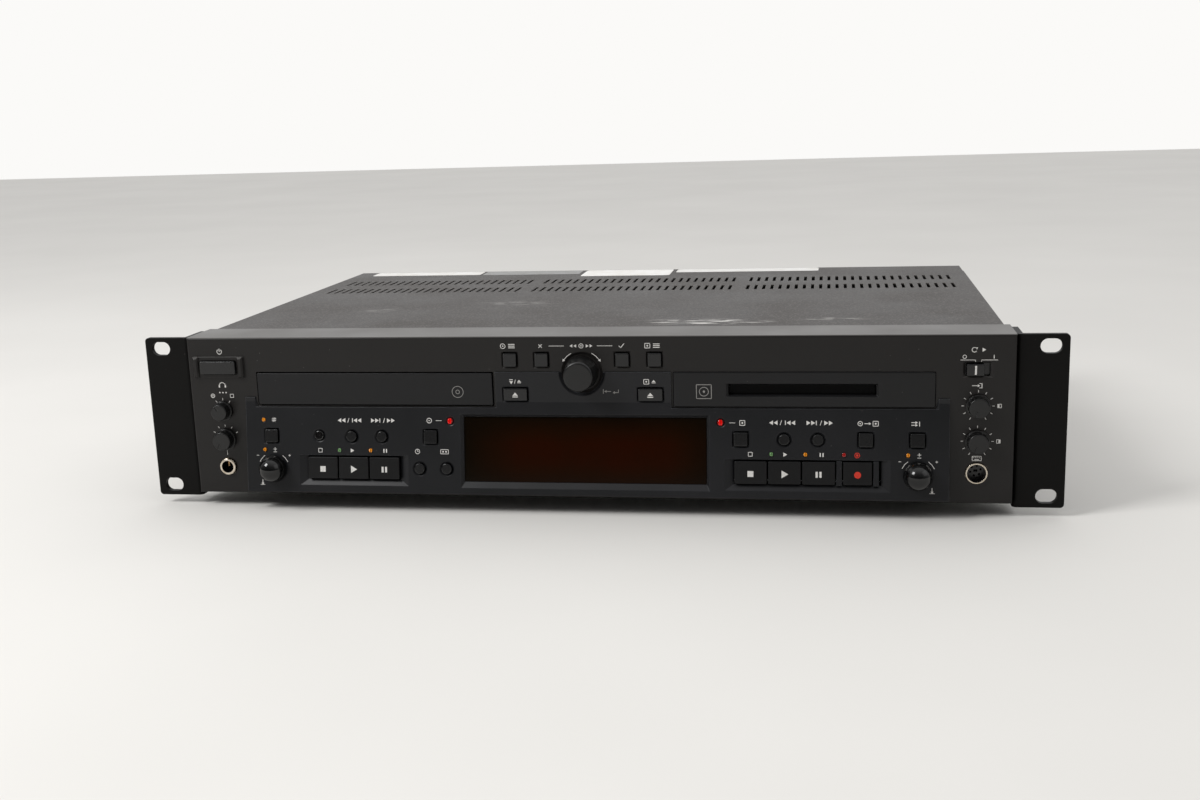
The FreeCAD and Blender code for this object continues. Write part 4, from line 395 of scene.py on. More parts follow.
ZINC = plated_metal("galvanised_steel", "#a3a5a6", "#b9bbbb", 0.38, (1.0, 0.08, 1.0))
DRIVE_STEEL = plated_metal("rolled_steel", "#8f9294", "#a5a7a8", 0.42, (0.1, 1.0, 1.0))
SCREW_STEEL = plated_metal("black_zinc_screw", "#39393b", "#4a4a4c", 0.35)


# %% [markdown]
# A socket is one solid, but its shell is plated and its insides are black plastic. Both finishes
# can share a material when the distance from the socket's axis decides which one shows.

# %% Sockets
def from_axis(tree, where, middle):
    """The distance, in metres, from a line that runs front to back through a point."""
    shifted = add(tree, "ShaderNodeVectorMath", {"operation": "SUBTRACT"}, {1: middle},
                  {0: where}).outputs[0]
    flat = add(tree, "ShaderNodeVectorMath", {"operation": "MULTIPLY"}, {1: (1.0, 0.0, 1.0)},
               {0: shifted}).outputs[0]
    return add(tree, "ShaderNodeVectorMath", {"operation": "LENGTH"}, links={0: flat}).outputs["Value"]


def lined_socket(name, middle, bore_mm):
    """Bright plating outside a bore and black plastic within it."""
    material, tree, shader, where = new_material(name)
    far = from_axis(tree, where, middle)
    outside = add(tree, "ShaderNodeMath", {"operation": "GREATER_THAN"}, {1: bore_mm * MM},
                  {0: far}).outputs[0]
    stains = add(tree, "ShaderNodeTexNoise", values={"Scale": per_metre(1.5), "Detail": 4.0},
                 links={"Vector": where}).outputs["Fac"]
    plating = ramp(tree, stains, [(0.3, linear("#b9ab97")), (0.6, linear("#ddd3c4"))])
    dark = add(tree, "ShaderNodeMix", {"data_type": "RGBA"}, links={"Factor": outside, 7: plating})
    dark.inputs[6].default_value = linear("#090808")
    rough = add(tree, "ShaderNodeMapRange", values={"To Min": 0.14, "To Max": 0.34},
                links={"Value": stains}).outputs["Result"]
    tree.links.new(dark.outputs[2], shader.inputs["Base Color"])
    tree.links.new(outside, shader.inputs["Metallic"])
    tree.links.new(rough, shader.inputs["Roughness"])
    tree.links.new(rounded_normal(tree, 0.35), shader.inputs["Normal"])
    return material


JACK_ROW = 17.5
JACK_BORE = 3.35
KEYBOARD_ROW = 18.3
KEYBOARD_BORE = 4.65
finish(lined_socket("jack_nickel_and_nylon", place(PHONES_COLUMN, 0, JACK_ROW), JACK_BORE), "phones_jack")
finish(lined_socket("keyboard_socket_plating", place(INPUT_COLUMN, 0, KEYBOARD_ROW), KEYBOARD_BORE),
       "keyboard_socket")

# %% [markdown]
# The signal sockets on the rear wall share one node too. Their barrels are plated from a plane a
# little behind the wall on, the upper row begins above a height, and the two optical sockets,
# which are black plastic, stand at the end of the row.

# %% Rear sockets
BARREL_START = 281.6
UPPER_ROW_START = 38.0
OPTICAL_START = -30.0


def rear_socket_plating():
    """Plated barrels whose insulating rings are white in the upper row and red in the lower."""
    material, tree, shader, where = new_material("phono_plating_and_rings")
    height = add(tree, "ShaderNodeSeparateXYZ", links={0: where}).outputs["Z"]
    upper = add(tree, "ShaderNodeMath", {"operation": "GREATER_THAN"}, {1: place(0, 0, UPPER_ROW_START).z},
                {0: height}).outputs[0]
    depth = add(tree, "ShaderNodeSeparateXYZ", links={0: where}).outputs["Y"]
    barrel = add(tree, "ShaderNodeMath", {"operation": "GREATER_THAN"}, {1: place(0, BARREL_START, 0).y},
                 {0: depth}).outputs[0]
    stains = add(tree, "ShaderNodeTexNoise", values={"Scale": per_metre(2.0), "Detail": 3.0},
                 links={"Vector": where}).outputs["Fac"]
    plating = ramp(tree, stains, [(0.3, linear("#b8b2a6")), (0.7, linear("#d3cdc1"))])
    ring = add(tree, "ShaderNodeMix", {"data_type": "RGBA"}, links={"Factor": upper})
    ring.inputs[6].default_value = linear("#9c1c18")
    ring.inputs[7].default_value = linear("#d6d2c8")
    tone = add(tree, "ShaderNodeMix", {"data_type": "RGBA"},
               links={"Factor": barrel, 6: ring.outputs[2], 7: plating})
    side = add(tree, "ShaderNodeSeparateXYZ", links={0: where}).outputs["X"]
    optical = add(tree, "ShaderNodeMath", {"operation": "GREATER_THAN"}, {1: OPTICAL_START * MM},
                  {0: side}).outputs[0]
    metal = add(tree, "ShaderNodeMath", {"operation": "SUBTRACT", "use_clamp": True},
                links={0: barrel, 1: optical}).outputs[0]
    tree.links.new(blend_to(tree, optical, tone.outputs[2], "#101010"), shader.inputs["Base Color"])
    tree.links.new(metal, shader.inputs["Metallic"])
    shader.inputs["Roughness"].default_value = 0.3
    tree.links.new(rounded_normal(tree, 0.3), shader.inputs["Normal"])
    return material


finish(rear_socket_plating(), "rear_sockets")
finish(ZINC, "chassis")
finish(DRIVE_STEEL, "cd_drive", "md_drive", "jog_shaft", "cd_pitch_shaft", "md_pitch_shaft")
finish(SCREW_STEEL, "case_screws")


# %% [markdown]
# Boards are green where the solder mask covers the copper, and the tray's pinion is moulded in
# white nylon.

# %% Boards and nylon
def circuit_board(name):
    """Green solder mask on glass fibre, with a fine pattern of traces."""
    material, tree, shader, where = new_material(name)
    cells = add(tree, "ShaderNodeTexVoronoi", {"distance": "MANHATTAN"}, {"Scale": per_metre(4.0)},
                {"Vector": where}).outputs["Distance"]
    base = ramp(tree, cells, [(0.1, linear("#2f5b3a")), (0.5, linear("#1f4229"))])
    tree.links.new(base, shader.inputs["Base Color"])
    shader.inputs["Roughness"].default_value = 0.4
    return material


finish(circuit_board("green_solder_mask"), "front_board", "main_board", "power_supply")


def white_nylon():
    """Uncoloured nylon with faint clouds."""
    material, tree, shader, where = new_material("white_nylon")
    clouds = add(tree, "ShaderNodeTexNoise", values={"Scale": per_metre(3.0)},
                 links={"Vector": where}).outputs["Fac"]
    base = ramp(tree, clouds, [(0.3, linear("#d9d5c8")), (0.7, linear("#e6e2d6"))])
    tree.links.new(base, shader.inputs["Base Color"])
    shader.inputs["Roughness"].default_value = 0.45
    return material


finish(white_nylon(), "tray_pinion")


# %% [markdown]
# The window is smoked acrylic. Its colour holds a painted glow, brown red where the display sits behind it,
# and painted shade that turns it nearly black towards its edges. The painted glow is the product of two
# rulers, one across and one upwards, and a noise makes it uneven.

# %% Window, with a painted glow and painted shade at its edges
def smoked_window():
    """Smoked acrylic over a dark display, with a painted red brown glow in the middle and painted shade
    along its edges.
    """
    material, tree, shader, where = new_material("smoked_acrylic_painted_glow")
    low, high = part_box("display_window")
    apart = add(tree, "ShaderNodeSeparateXYZ", links={0: where})
    across = add(tree, "ShaderNodeMapRange", values={"From Min": low.x, "From Max": high.x},
                 links={"Value": apart.outputs["X"]}).outputs["Result"]
    upward = add(tree, "ShaderNodeMapRange", values={"From Min": low.z, "From Max": high.z},
                 links={"Value": apart.outputs["Z"]}).outputs["Result"]
    sides = ramp(tree, across, [(0.0, grey(0.0)), (0.22, grey(0.8)), (0.5, grey(1.0)),
                                (0.85, grey(0.8)), (1.0, grey(0.25))])
    rise = ramp(tree, upward, [(0.0, grey(0.35)), (0.3, grey(0.9)), (0.6, grey(1.0)), (1.0, grey(0.1))])
    # painted glow in the middle, falling to painted shade at the edges
    painted_glow = add(tree, "ShaderNodeMath", {"operation": "MULTIPLY"}, links={0: sides, 1: rise}).outputs[0]
    cloud = add(tree, "ShaderNodeTexNoise", values={"Scale": per_metre(26.0), "Detail": 3.0},
                links={"Vector": where}).outputs["Fac"]
    uneven = add(tree, "ShaderNodeMapRange", values={"To Min": 0.55, "To Max": 1.3},
                 links={"Value": cloud}).outputs["Result"]
    amount = add(tree, "ShaderNodeMath", {"operation": "MULTIPLY"}, links={0: painted_glow, 1: uneven}).outputs[0]
    base = ramp(tree, amount, [(0.0, linear("#0f0a04")), (0.5, linear("#1d0c03")), (1.0, linear("#260a01"))])
    tree.links.new(base, shader.inputs["Base Color"])
    shader.inputs["Roughness"].default_value = 0.1
    shader.inputs["IOR"].default_value = 1.49
    shader.inputs["Specular IOR Level"].default_value = 0.12
    return material


finish(smoked_window(), "display_window")

# %% [markdown]
# ## The indicator lenses
#
# The small lenses are one solid, so a single material colours each by its place from left to right. A
# constant colour ramp works as a striped ruler laid across the panel. A second ruler holds the middle of
# each lens, so that the material can paint two bright glints where the lamp's contacts sit behind its tinted
# epoxy; these painted highlights are brighter than any pigment. The wide dark lens on the left is the remote
# control's sensor.

# %% Lenses
AMBER = linear("#b06a08")
GREEN = linear("#4c6e42")
RED = linear("#c00c08")
DARK_RED = linear("#7d0d0a")
SENSOR_DARK = linear("#0c0b0b")
# where each stripe starts, the middle of its lens and its tint
LENSES = [(-185.0, -174.4, AMBER), (-160.0, -143.5, SENSOR_DARK), (-138.0, -132.2, GREEN),
          (-124.0, -114.9, AMBER), (-100.0, -71.1, RED), (0.0, 71.1, RED), (85.0, 96.8, GREEN),
          (105.0, 113.9, AMBER), (123.0, 133.1, DARK_RED), (150.0, 164.6, AMBER)]
LENS_HALF_SPAN = 185.0


def along_ruler(x):
    """A distance across the panel as a position from nought to one."""
    return (x + LENS_HALF_SPAN) / (2 * LENS_HALF_SPAN)


def lens_material():
    """Clear epoxy, tinted by its place, with painted glints on the lamp's contacts behind it."""
    material, tree, shader, where = new_material("tinted_lens_epoxy")
    apart = add(tree, "ShaderNodeSeparateXYZ", links={0: where})
    across = add(tree, "ShaderNodeMapRange",
                 values={"From Min": -LENS_HALF_SPAN * MM, "From Max": LENS_HALF_SPAN * MM},
                 links={"Value": apart.outputs["X"]}).outputs["Result"]
    tint = ramp(tree, across, [(along_ruler(x), tone) for x, middle, tone in LENSES], "CONSTANT")
    middles = ramp(tree, across, [(along_ruler(x), grey(along_ruler(m))) for x, m, tone in LENSES],
                   "CONSTANT")
    offset = add(tree, "ShaderNodeMath", {"operation": "SUBTRACT"},
                 links={0: across, 1: middles}).outputs[0]
    sideways = add(tree, "ShaderNodeMath", {"operation": "ABSOLUTE"}, links={0: offset}).outputs[0]
    off_mm = add(tree, "ShaderNodeMath", {"operation": "MULTIPLY"}, {1: 2 * LENS_HALF_SPAN},
                 {0: sideways}).outputs[0]
    # painted highlights: two glints either side of each lens's middle, brighter than white
    painted_contact_glints = ramp(tree, off_mm, [(0.0, grey(0.7)), (0.15, grey(0.8)), (0.35, grey(2.4)),
                                   (0.55, grey(2.0)), (0.75, grey(0.9)), (1.0, grey(0.7))])
    mixed = add(tree, "ShaderNodeMix", {"data_type": "RGBA", "blend_type": "MULTIPLY"},
                {"Factor": 1.0}, {6: tint, 7: painted_contact_glints})
    tree.links.new(mixed.outputs[2], shader.inputs["Base Color"])
    shader.inputs["Roughness"].default_value = 0.1
    shader.inputs["Coat Weight"].default_value = 0.6
    tree.links.new(rounded_normal(tree, 0.5), shader.inputs["Normal"])
    return material


finish(lens_material(), "panel_lenses")

# %% [markdown]
# ## The studio
#
# A pale floor and a pale surround keep the picture plain. One large soft lamp stands to the
# upper left in front, like a flash bounced into a softbox, and a weak one fills from the right.
# The surround is white overhead and behind the deck and dark behind the camera, so the front
# keeps its depth while the lid picks up a soft grey sheen.

# %% Floor, world and lamps
FLOOR_SIZE = 8.0


def floor_paint():
    """A matt floor with slow changes of tone."""
    material, tree, shader, where = new_material("pale_matt_floor")
    tone = add(tree, "ShaderNodeTexNoise", values={"Scale": per_metre(300.0), "Detail": 3.0},
               links={"Vector": where}).outputs["Fac"]
    base = ramp(tree, tone, [(0.3, linear("#dbd9d5")), (0.7, linear("#e0deda"))])
    tree.links.new(base, shader.inputs["Base Color"])
    shader.inputs["Roughness"].default_value = 0.85
    return material


bpy.ops.mesh.primitive_plane_add(size=FLOOR_SIZE, location=(0, 0, 0))
floor = bpy.context.object
floor.name = "studio_floor"
floor.data.materials.append(floor_paint())

world = bpy.data.worlds.new("soft_studio")
bpy.context.scene.world = world
world.use_nodes = True
sky = world.node_tree
sky.nodes.clear()
ray = add(sky, "ShaderNodeLightPath")
direction = add(sky, "ShaderNodeTexCoord").outputs["Generated"]
# the surround is brightest this way: up and back
BRIGHT_WAY = (0.1, 0.65, 0.8)
heading = add(sky, "ShaderNodeVectorMath", {"operation": "DOT_PRODUCT"}, {1: BRIGHT_WAY},
              {0: direction}).outputs["Value"]
surround = ramp(sky, add(sky, "ShaderNodeMapRange", values={"From Min": -0.6, "From Max": 0.7},
                         links={"Value": heading}).outputs["Result"],
                [(0.0, grey(0.03)), (0.45, grey(0.25)), (1.0, grey(1.0))])
lit = add(sky, "ShaderNodeBackground", values={"Strength": 1.0}, links={"Color": surround})
seen = add(sky, "ShaderNodeBackground", values={"Color": linear("#fbfaf8"), "Strength": 1.0})
both = add(sky, "ShaderNodeMixShader",
           links={"Fac": ray.outputs["Is Camera Ray"], 1: lit.outputs[0], 2: seen.outputs[0]})
add(sky, "ShaderNodeOutputWorld", links={"Surface": both.outputs[0]})


def soft_lamp(name, position, size, power):
    """A square area lamp that looks at the middle of the deck."""
    bpy.ops.object.light_add(type="AREA", location=position)
    lamp = bpy.context.object
    lamp.name = name
    lamp.data.size = size
    lamp.data.energy = power
    towards = Vector((0, 0, 0.04)) - Vector(position)
    lamp.rotation_euler = towards.to_track_quat("-Z", "Y").to_euler()


soft_lamp("key_softbox", (-1.05, -0.85, 1.15), 0.6, 17.0)
soft_lamp("fill_softbox", (1.3, -0.7, 0.9), 1.0, 1.5)
print("floor", FLOOR_SIZE, "m wide, brightest towards", BRIGHT_WAY)

# %% [markdown]
# ## Printed marks
#
# The front is screen printed with small white marks. Each is modelled as a film of ink 0.04 mm
# thick, built flat from planes and discs in edit mode, and then laid on its face. The lower
# panel leans, so its marks are moved back in proportion to their height, which is a shear. The
# marks are plain signs of the kind that any player could carry.

# %% Tools for marks
INK_THICKNESS = 0.04
ROUND_SEGMENTS = 28
TICK_END = 8.0
FILMS = []


def ink(name, chip):
    """Screen ink: slightly uneven cover with a matt skin."""
    material, tree, shader, where = new_material(name)
    cover = add(tree, "ShaderNodeTexNoise", values={"Scale": per_metre(0.6), "Detail": 2.0},
                links={"Vector": where}).outputs["Fac"]
    dim = [c * 0.72 for c in linear(chip)[:3]] + [1.0]
    tree.links.new(ramp(tree, cover, [(0.25, dim), (0.5, linear(chip))]), shader.inputs["Base Color"])
    shader.inputs["Roughness"].default_value = 0.5
    return material


WHITE_INK = ink("white_screen_ink", "#dcdad6")
GREY_INK = ink("worn_grey_ink", "#8f8d8a")
RED_INK = ink("red_screen_ink", "#d2321e")


def deselect():
    """Leave nothing selected, so that the next tool touches only its own piece."""
    for chosen in list(bpy.context.selected_objects):
        chosen.select_set(False)


def start_marks(name):
    """An empty mesh object in edit mode, ready for strokes in millimetres."""
    deselect()
    mesh = bpy.data.meshes.new(name)
    made = bpy.data.objects.new(name, mesh)
    bpy.context.collection.objects.link(made)
    made.select_set(True)
    bpy.context.view_layer.objects.active = made
    bpy.ops.object.mode_set(mode="EDIT")
    return made


def block(x, z, width, height, turn=0.0):
    """A filled rectangle: a plane, resized, turned and moved to its place."""
    middle = (0, 0, 0)
    bpy.ops.mesh.primitive_plane_add(size=1.0, location=middle)
    bpy.ops.transform.resize(value=(width, height, 1.0), center_override=middle)
    if turn:
        bpy.ops.transform.rotate(value=-turn, orient_axis="Z", center_override=middle)
    bpy.ops.transform.translate(value=(x, z, 0))


def stroke(x0, z0, x1, z1, width):
    """A straight bar of ink from one point to another."""
    length = math.hypot(x1 - x0, z1 - z0)
    block((x0 + x1) / 2, (z0 + z1) / 2, length, width, math.atan2(z1 - z0, x1 - x0))


def dot(x, z, radius):
    """A filled disc."""
    bpy.ops.mesh.primitive_circle_add(vertices=ROUND_SEGMENTS, radius=radius, fill_type="NGON",
                                      location=(x, z, 0))


def wedge(x, z, width, turn=0.0):
    """A filled triangle that points up, turned anticlockwise by an angle in degrees."""
    bpy.ops.mesh.primitive_circle_add(vertices=3, radius=width / math.sqrt(3), fill_type="NGON",
                                      location=(x, z, 0), rotation=(0, 0, math.radians(turn)))


def bow(x, z, radius, start, end, width):
    """An arc of ink, from start to end degrees, anticlockwise from the right."""
    steps = max(2, int(abs(end - start) / 15))
    angles = [math.radians(start + (end - start) * i / steps) for i in range(steps + 1)]
    for first, last in zip(angles, angles[1:]):
        stroke(x + radius * math.cos(first), z + radius * math.sin(first),
               x + radius * math.cos(last), z + radius * math.sin(last), width)


def ticks(x, z, degrees, start, width):
    """Short strokes round a dial, from a starting radius to where all ticks end."""
    for turn in degrees:
        angle = math.radians(turn)
        stroke(x + start * math.cos(angle), z + start * math.sin(angle),
               x + TICK_END * math.cos(angle), z + TICK_END * math.sin(angle), width)


def frame_of(x, z, width, height, line):
    """A rectangle drawn with four strokes."""
    left, right = x - width / 2, x + width / 2
    low, high = z - height / 2, z + height / 2
    for x0, z0, x1, z1 in ((left, low, right, low), (left, high, right, high),
                           (left, low, left, high), (right, low, right, high)):
        stroke(x0, z0, x1, z1, line)


def end_marks(made, material, body, depth=FASCIA_DEPTH, lean=False, proud=0.0):
    """Close the marks, give them thickness and lay them on a face of the deck."""
    bpy.ops.object.mode_set(mode="OBJECT")
    skin = made.modifiers.new("ink", "SOLIDIFY")
    skin.thickness = INK_THICKNESS
    skin.offset = 1.0
    bpy.ops.object.modifier_apply(modifier=skin.name)
    slope = LEAN_SLOPE if lean else 0.0
    start = (PANEL_DEPTH - LEAN_SLOPE * LEAN_TOP if lean else depth) - proud
    # rows give the scene's x, y and z from the drawn x, z and thickness
    laid = Matrix(((MM, 0, 0, 0),
                   (0, slope * MM, -MM, ORIGIN_Y + start * MM),
                   (0, MM, 0, ORIGIN_Z),
                   (0, 0, 0, 1)))
    made.data.transform(laid)
    made.data.materials.append(material)
    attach(made, body)
    FILMS.append(made.name)


# %% [markdown]
# Signs repeat, so each is drawn by its own small function, about 2.4 mm high, round a given
# point.

# %% Signs
def eject_sign(x, z, width):
    """A flat triangle over a bar, round the middle of the sign."""
    wedge(x, z, width)
    bpy.ops.transform.resize(value=(1.0, 0.66, 1.0), center_override=(x, z, 0))
    block(x, z - 0.4 * width, width, 0.16 * width)


def skip_sign(x, z, sense):
    """Wind and skip, backwards for -1 and forwards for 1: heads, a bar, a slash and heads."""
    for offset in (-5.5, -3.2, 3.3, 5.6):
        wedge(x + offset * sense, z, 2.3, -90 * sense)
    block(x - 1.3 * sense, z, 0.45, 2.2)
    slash = x + 1.0 * sense
    stroke(slash - 0.4, z - 1.2, slash + 0.4, z + 1.2, 0.32)


def list_sign(x, z):
    """Three lines of a menu."""
    for row in (-0.9, 0, 0.9):
        block(x, z + row, 3.4, 0.4)


def disc_sign(x, z, radius=1.25):
    """A disc with its hub."""
    bow(x, z, radius, 0, 360, 0.35)
    dot(x, z, 0.35)


def cartridge_sign(x, z):
    """A square cartridge with its hub."""
    frame_of(x, z, 2.6, 2.4, 0.32)
    dot(x, z, 0.45)


def arrow(x, z, length, turn):
    """A shaft and a head, turned by an angle in degrees from pointing right."""
    angle = math.radians(turn)
    dx, dz = math.cos(angle) * length / 2, math.sin(angle) * length / 2
    stroke(x - dx, z - dz, x + dx * 0.4, z + dz * 0.4, 0.35)
    wedge(x + dx * 0.7, z + dz * 0.7, 1.4, turn - 90)


# %% [markdown]
# ### Marks on the flat front
#
# They are one film, drawn from the left to the right. The first ones belong to the power button
# and the phones knobs.

# %% Marks round the power button and the phones knobs
POWER_COLUMN = -197.6
LEVEL_ROW = 32.8
marks = start_marks("fascia_marks")
# power: a broken ring with a bar
bow(POWER_COLUMN, 81.0, 1.3, 125, 415, 0.38)
stroke(POWER_COLUMN, 80.9, POWER_COLUMN, 82.7, 0.38)
# phones: a headband with two cushions
bow(POWER_COLUMN, 62.4, 1.7, 0, 180, 0.38)
for side in SIDES:
    block(POWER_COLUMN + side * 1.7, 62.1, 0.8, 1.4)
# selector: three ticks, and signs for the disc, for both and for the cartridge
for x0, z0, x1, z1 in ((-202.2, 54.0, -201.3, 53.1), (-198.1, 55.5, -198.1, 54.3),
                       (-193.9, 54.0, -194.8, 53.1)):
    stroke(x0, z0, x1, z1, 0.3)
disc_sign(-203.5, 56.8, 1.0)
frame_of(-192.6, 56.8, 1.9, 1.8, 0.28)
for i in range(3):
    dot(-199.4 + i * 1.8, 58.6, 0.4)
# level ticks, and a line down to the jack
ticks(PHONES_COLUMN, LEVEL_ROW, range(150, 0, -30), 6.9, 0.3)
stroke(-198.2, 23.8, -198.2, 26.4, 0.3)

# %% [markdown]
# The row over the jog knob has signs for the two menus, for no and for yes, and winding heads
# on both sides of a disc.

# %% Marks over the menu buttons and the jog knob
MENU_ROW = 83.5
for x in (-36.6, 38.9):
    list_sign(x, MENU_ROW)
disc_sign(-41.2, MENU_ROW)
cartridge_sign(34.3, MENU_ROW)
for turn in (45, -45):
    block(-21.4, MENU_ROW, 2.4, 0.38, math.radians(turn))
stroke(19.6, 83.4, 20.6, 82.5, 0.38)
stroke(20.5, 82.4, 22.3, 84.6, 0.38)
for x in (-12.9, 12.3):
    block(x, MENU_ROW, 8.0, 0.25)
disc_sign(0, MENU_ROW, 1.1)
for side in SIDES:
    for away in (3.0, 5.0):
        wedge(side * away, MENU_ROW, 1.7, -90 * side)

# %% [markdown]
# At the right the switch has a ring for off and a bar for on, and each input dial has eleven
# ticks and a square whose left or right half is filled.

# %% Marks round the switch, the input dials and the keyboard socket
BRACKET_ROW = 75.8
DIAL_ROWS = (52.7, 34.7)
bow(191.2, 77.4, 0.85, 0, 360, 0.3)
stroke(205.2, 76.5, 205.2, 78.3, 0.35)
for x0, x1, foot in ((189.2, 196.5, 196.4), (199.2, 207.1, 199.3)):
    stroke(x0, BRACKET_ROW, x1, BRACKET_ROW, 0.25)
    stroke(foot, BRACKET_ROW + 0.1, foot, BRACKET_ROW - 0.9, 0.25)
# continuous play: an arrow that turns round, beside a play head
bow(195.8, 80.9, 1.15, 30, 330, 0.35)
wedge(196.9, 81.7, 1.2, 180)
wedge(200.2, 80.9, 2.0, -90)
# input: an arrow into a bracket
arrow(196.9, 62.9, 3.6, 0)
stroke(199.8, 61.7, 199.8, 64.1, 0.38)
for z in (64.0, 61.8):
    stroke(198.6, z, 199.8, z, 0.3)
for row, side in zip(DIAL_ROWS, SIDES):
    ticks(INPUT_COLUMN, row, range(240, -61, -30), 6.8, 0.28)
    frame_of(208.4, row, 1.8, 1.8, 0.25)
    block(208.4 + side * 0.45, row, 0.9, 1.8)
# keyboard: a frame with four keys and a bar
frame_of(INPUT_COLUMN, 25.9, 4.4, 2.2, 0.28)
for i in range(4):
    dot(196.8 + i * 0.95, 26.3, 0.22)
block(INPUT_COLUMN, 25.4, 2.2, 0.28)
end_marks(marks, WHITE_INK, "deck")
print(FILMS[-1], "has", len(marks.data.polygons), "faces")

# %% [markdown]
# ### Marks on the hump between the two bays
#
# The tray's button has a sign for closing, a slash and a sign for opening, and the eject button
# has a cartridge and a sign for opening.

# %% Hump marks
marks = start_marks("hump_marks")
for x in (-33.2, 37.2):
    eject_sign(x, 65.1, 2.0)
stroke(-35.7, 63.9, -35.1, 65.9, 0.28)
wedge(-37.4, 64.6, 1.9, 180)
block(-37.4, 65.9, 1.9, 0.38)
cartridge_sign(33.4, 64.9)
end_marks(marks, WHITE_INK, "deck", PANEL_DEPTH)

marks = start_marks("jog_arrows")
JOG_ARC = 11.4
for side in SIDES:
    bow(0, JOG_ROW, JOG_ARC, 90 - side * 28, 90 - side * 54, 0.35)
    tip = math.radians(90 - side * 56)
    wedge(JOG_ARC * math.cos(tip), JOG_ROW + JOG_ARC * math.sin(tip), 1.5, -140 * side)
end_marks(marks, WHITE_INK, "deck")

# push to enter: an arrow against a wall and an arrow with a hook
marks = start_marks("jog_push_sign")
arrow(13.4, 59.8, 3.2, 180)
stroke(11.0, 58.6, 11.0, 61.0, 0.3)
arrow(17.6, 59.2, 2.8, 180)
stroke(18.9, 59.1, 18.9, 60.8, 0.3)
end_marks(marks, GREY_INK, "deck", PANEL_DEPTH)

# %% [markdown]
# ### Marks on the leaning panel
#
# Most of these signs come twice, once for the disc side at the left and once for the cartridge
# side at the right.

# %% Panel marks
SOURCE_ROW = 43.9
SKIP_ROW = 44.1
TRANSPORT_ROW = 28.1
TIME_ROW = 27.9
PITCH_ROW = 18.0
marks = start_marks("panel_marks")
# key: a sharp sign
for shift in (-0.45, 0.45):
    stroke(-168.8 + shift, 43.0, -168.8 + shift, 45.4, 0.28)
    stroke(-170.0, 44.1 + shift, -167.6, 44.4 + shift, 0.3)
# pitch: plus over minus beside each pitch light, with arcs and signs round the knobs
for x, knob in ((-168.6, -PITCH_COLUMN), (170.0, PITCH_COLUMN)):
    stroke(x - 0.9, 28.5, x + 0.9, 28.5, 0.3)
    stroke(x, 27.6, x, 29.4, 0.3)
    stroke(x - 0.9, 27.0, x + 0.9, 27.0, 0.3)
    for side in SIDES:
        bow(knob, PITCH_ROW, 8.7, 75 - side * 50, 105 - side * 50, 0.3)
        stroke(knob + side * 9.0 - 0.6, 25.1, knob + side * 9.0 + 0.6, 25.1, 0.28)
    stroke(knob + 9.0, 24.5, knob + 9.0, 25.7, 0.28)
# push: an arrow down to a line
for x in (-176.1, 176.3):
    arrow(x, 10.9, 2.6, -90)
    stroke(x - 1.3, 9.4, x + 1.3, 9.4, 0.28)
for x, sense in ((-126.0, -1), (-108.2, 1), (102.6, -1), (120.6, 1)):
    skip_sign(x, SKIP_ROW, sense)
# transport: an outlined square, a play head and two bars
for stop, play, ready in ((-143.0, -125.2, -106.9), (86.2, 103.7, 122.0)):
    frame_of(stop, TRANSPORT_ROW, 2.0, 2.0, 0.3)
    wedge(play - 0.2, TRANSPORT_ROW, 2.2, -90)
    for side in SIDES:
        block(ready + side * 0.7, TRANSPORT_ROW, 0.6, 2.0)
# sources, each with a dash to its light
disc_sign(-82.4, 44.2)
stroke(-78.8, 44.2, -75.6, 44.2, 0.25)
cartridge_sign(82.2, SOURCE_ROW)
stroke(75.6, SOURCE_ROW, 78.6, SOURCE_ROW, 0.25)
# time and display: a clock and a frame with two figures
bow(-89.1, TIME_ROW, 1.2, 0, 360, 0.32)
stroke(-89.1, TIME_ROW, -89.1, TIME_ROW + 0.9, 0.28)
stroke(-89.1, TIME_ROW, -88.4, TIME_ROW, 0.28)
frame_of(-74.3, TIME_ROW, 4.2, 2.2, 0.28)
for side in SIDES:
    block(-74.3 + side * 0.8, TIME_ROW, 0.8, 0.8)
# dubbing: from disc to cartridge
disc_sign(141.0, SOURCE_ROW, 1.1)
arrow(144.6, SOURCE_ROW, 3.0, 0)
cartridge_sign(148.6, SOURCE_ROW)
# input select: two arrows to a bar
for row in (0.65, -0.65):
    arrow(167.4, SOURCE_ROW + row, 2.8, 0)
stroke(170.0, 42.7, 170.0, 45.1, 0.38)
end_marks(marks, WHITE_INK, "deck", lean=True)
print(FILMS[-1], "has", len(marks.data.polygons), "faces")

marks = start_marks("record_sign")
bow(139.6, 28.0, 1.2, 0, 360, 0.35)
dot(139.6, 28.0, 0.6)
end_marks(marks, RED_INK, "deck", lean=True)

# %% [markdown]
# ### Marks on buttons, keys and the switch
#
# A mark on a moving cap must ride on that cap's own body, so each is a piece of its own.

# %% Marks that move
KEY_PROUD = 0.3
CAP_PROUD = 1.0
SWITCH_PROUD = 1.4
KEY_SIGN_ROW = 18.2
KEY_CENTRES = {"cd_stop_key": -141.7, "cd_play_key": -124.6, "cd_pause_key": -107.5,
               "md_stop_key": 86.3, "md_play_key": 103.4, "md_pause_key": 120.5, "record_key": 139.85}
for key, x in KEY_CENTRES.items():
    marks = start_marks(key + "_mark")
    if "stop" in key:
        block(x, KEY_SIGN_ROW, 3.0, 3.0)
    elif "play" in key:
        wedge(x - 0.3, KEY_SIGN_ROW, 3.9, -90)
    elif "pause" in key:
        for side in SIDES:
            block(x + side * 0.95, KEY_SIGN_ROW, 1.1, 3.0)
    else:
        dot(x, KEY_SIGN_ROW, 1.7)
    end_marks(marks, RED_INK if key == "record_key" else WHITE_INK, key, lean=True, proud=KEY_PROUD)
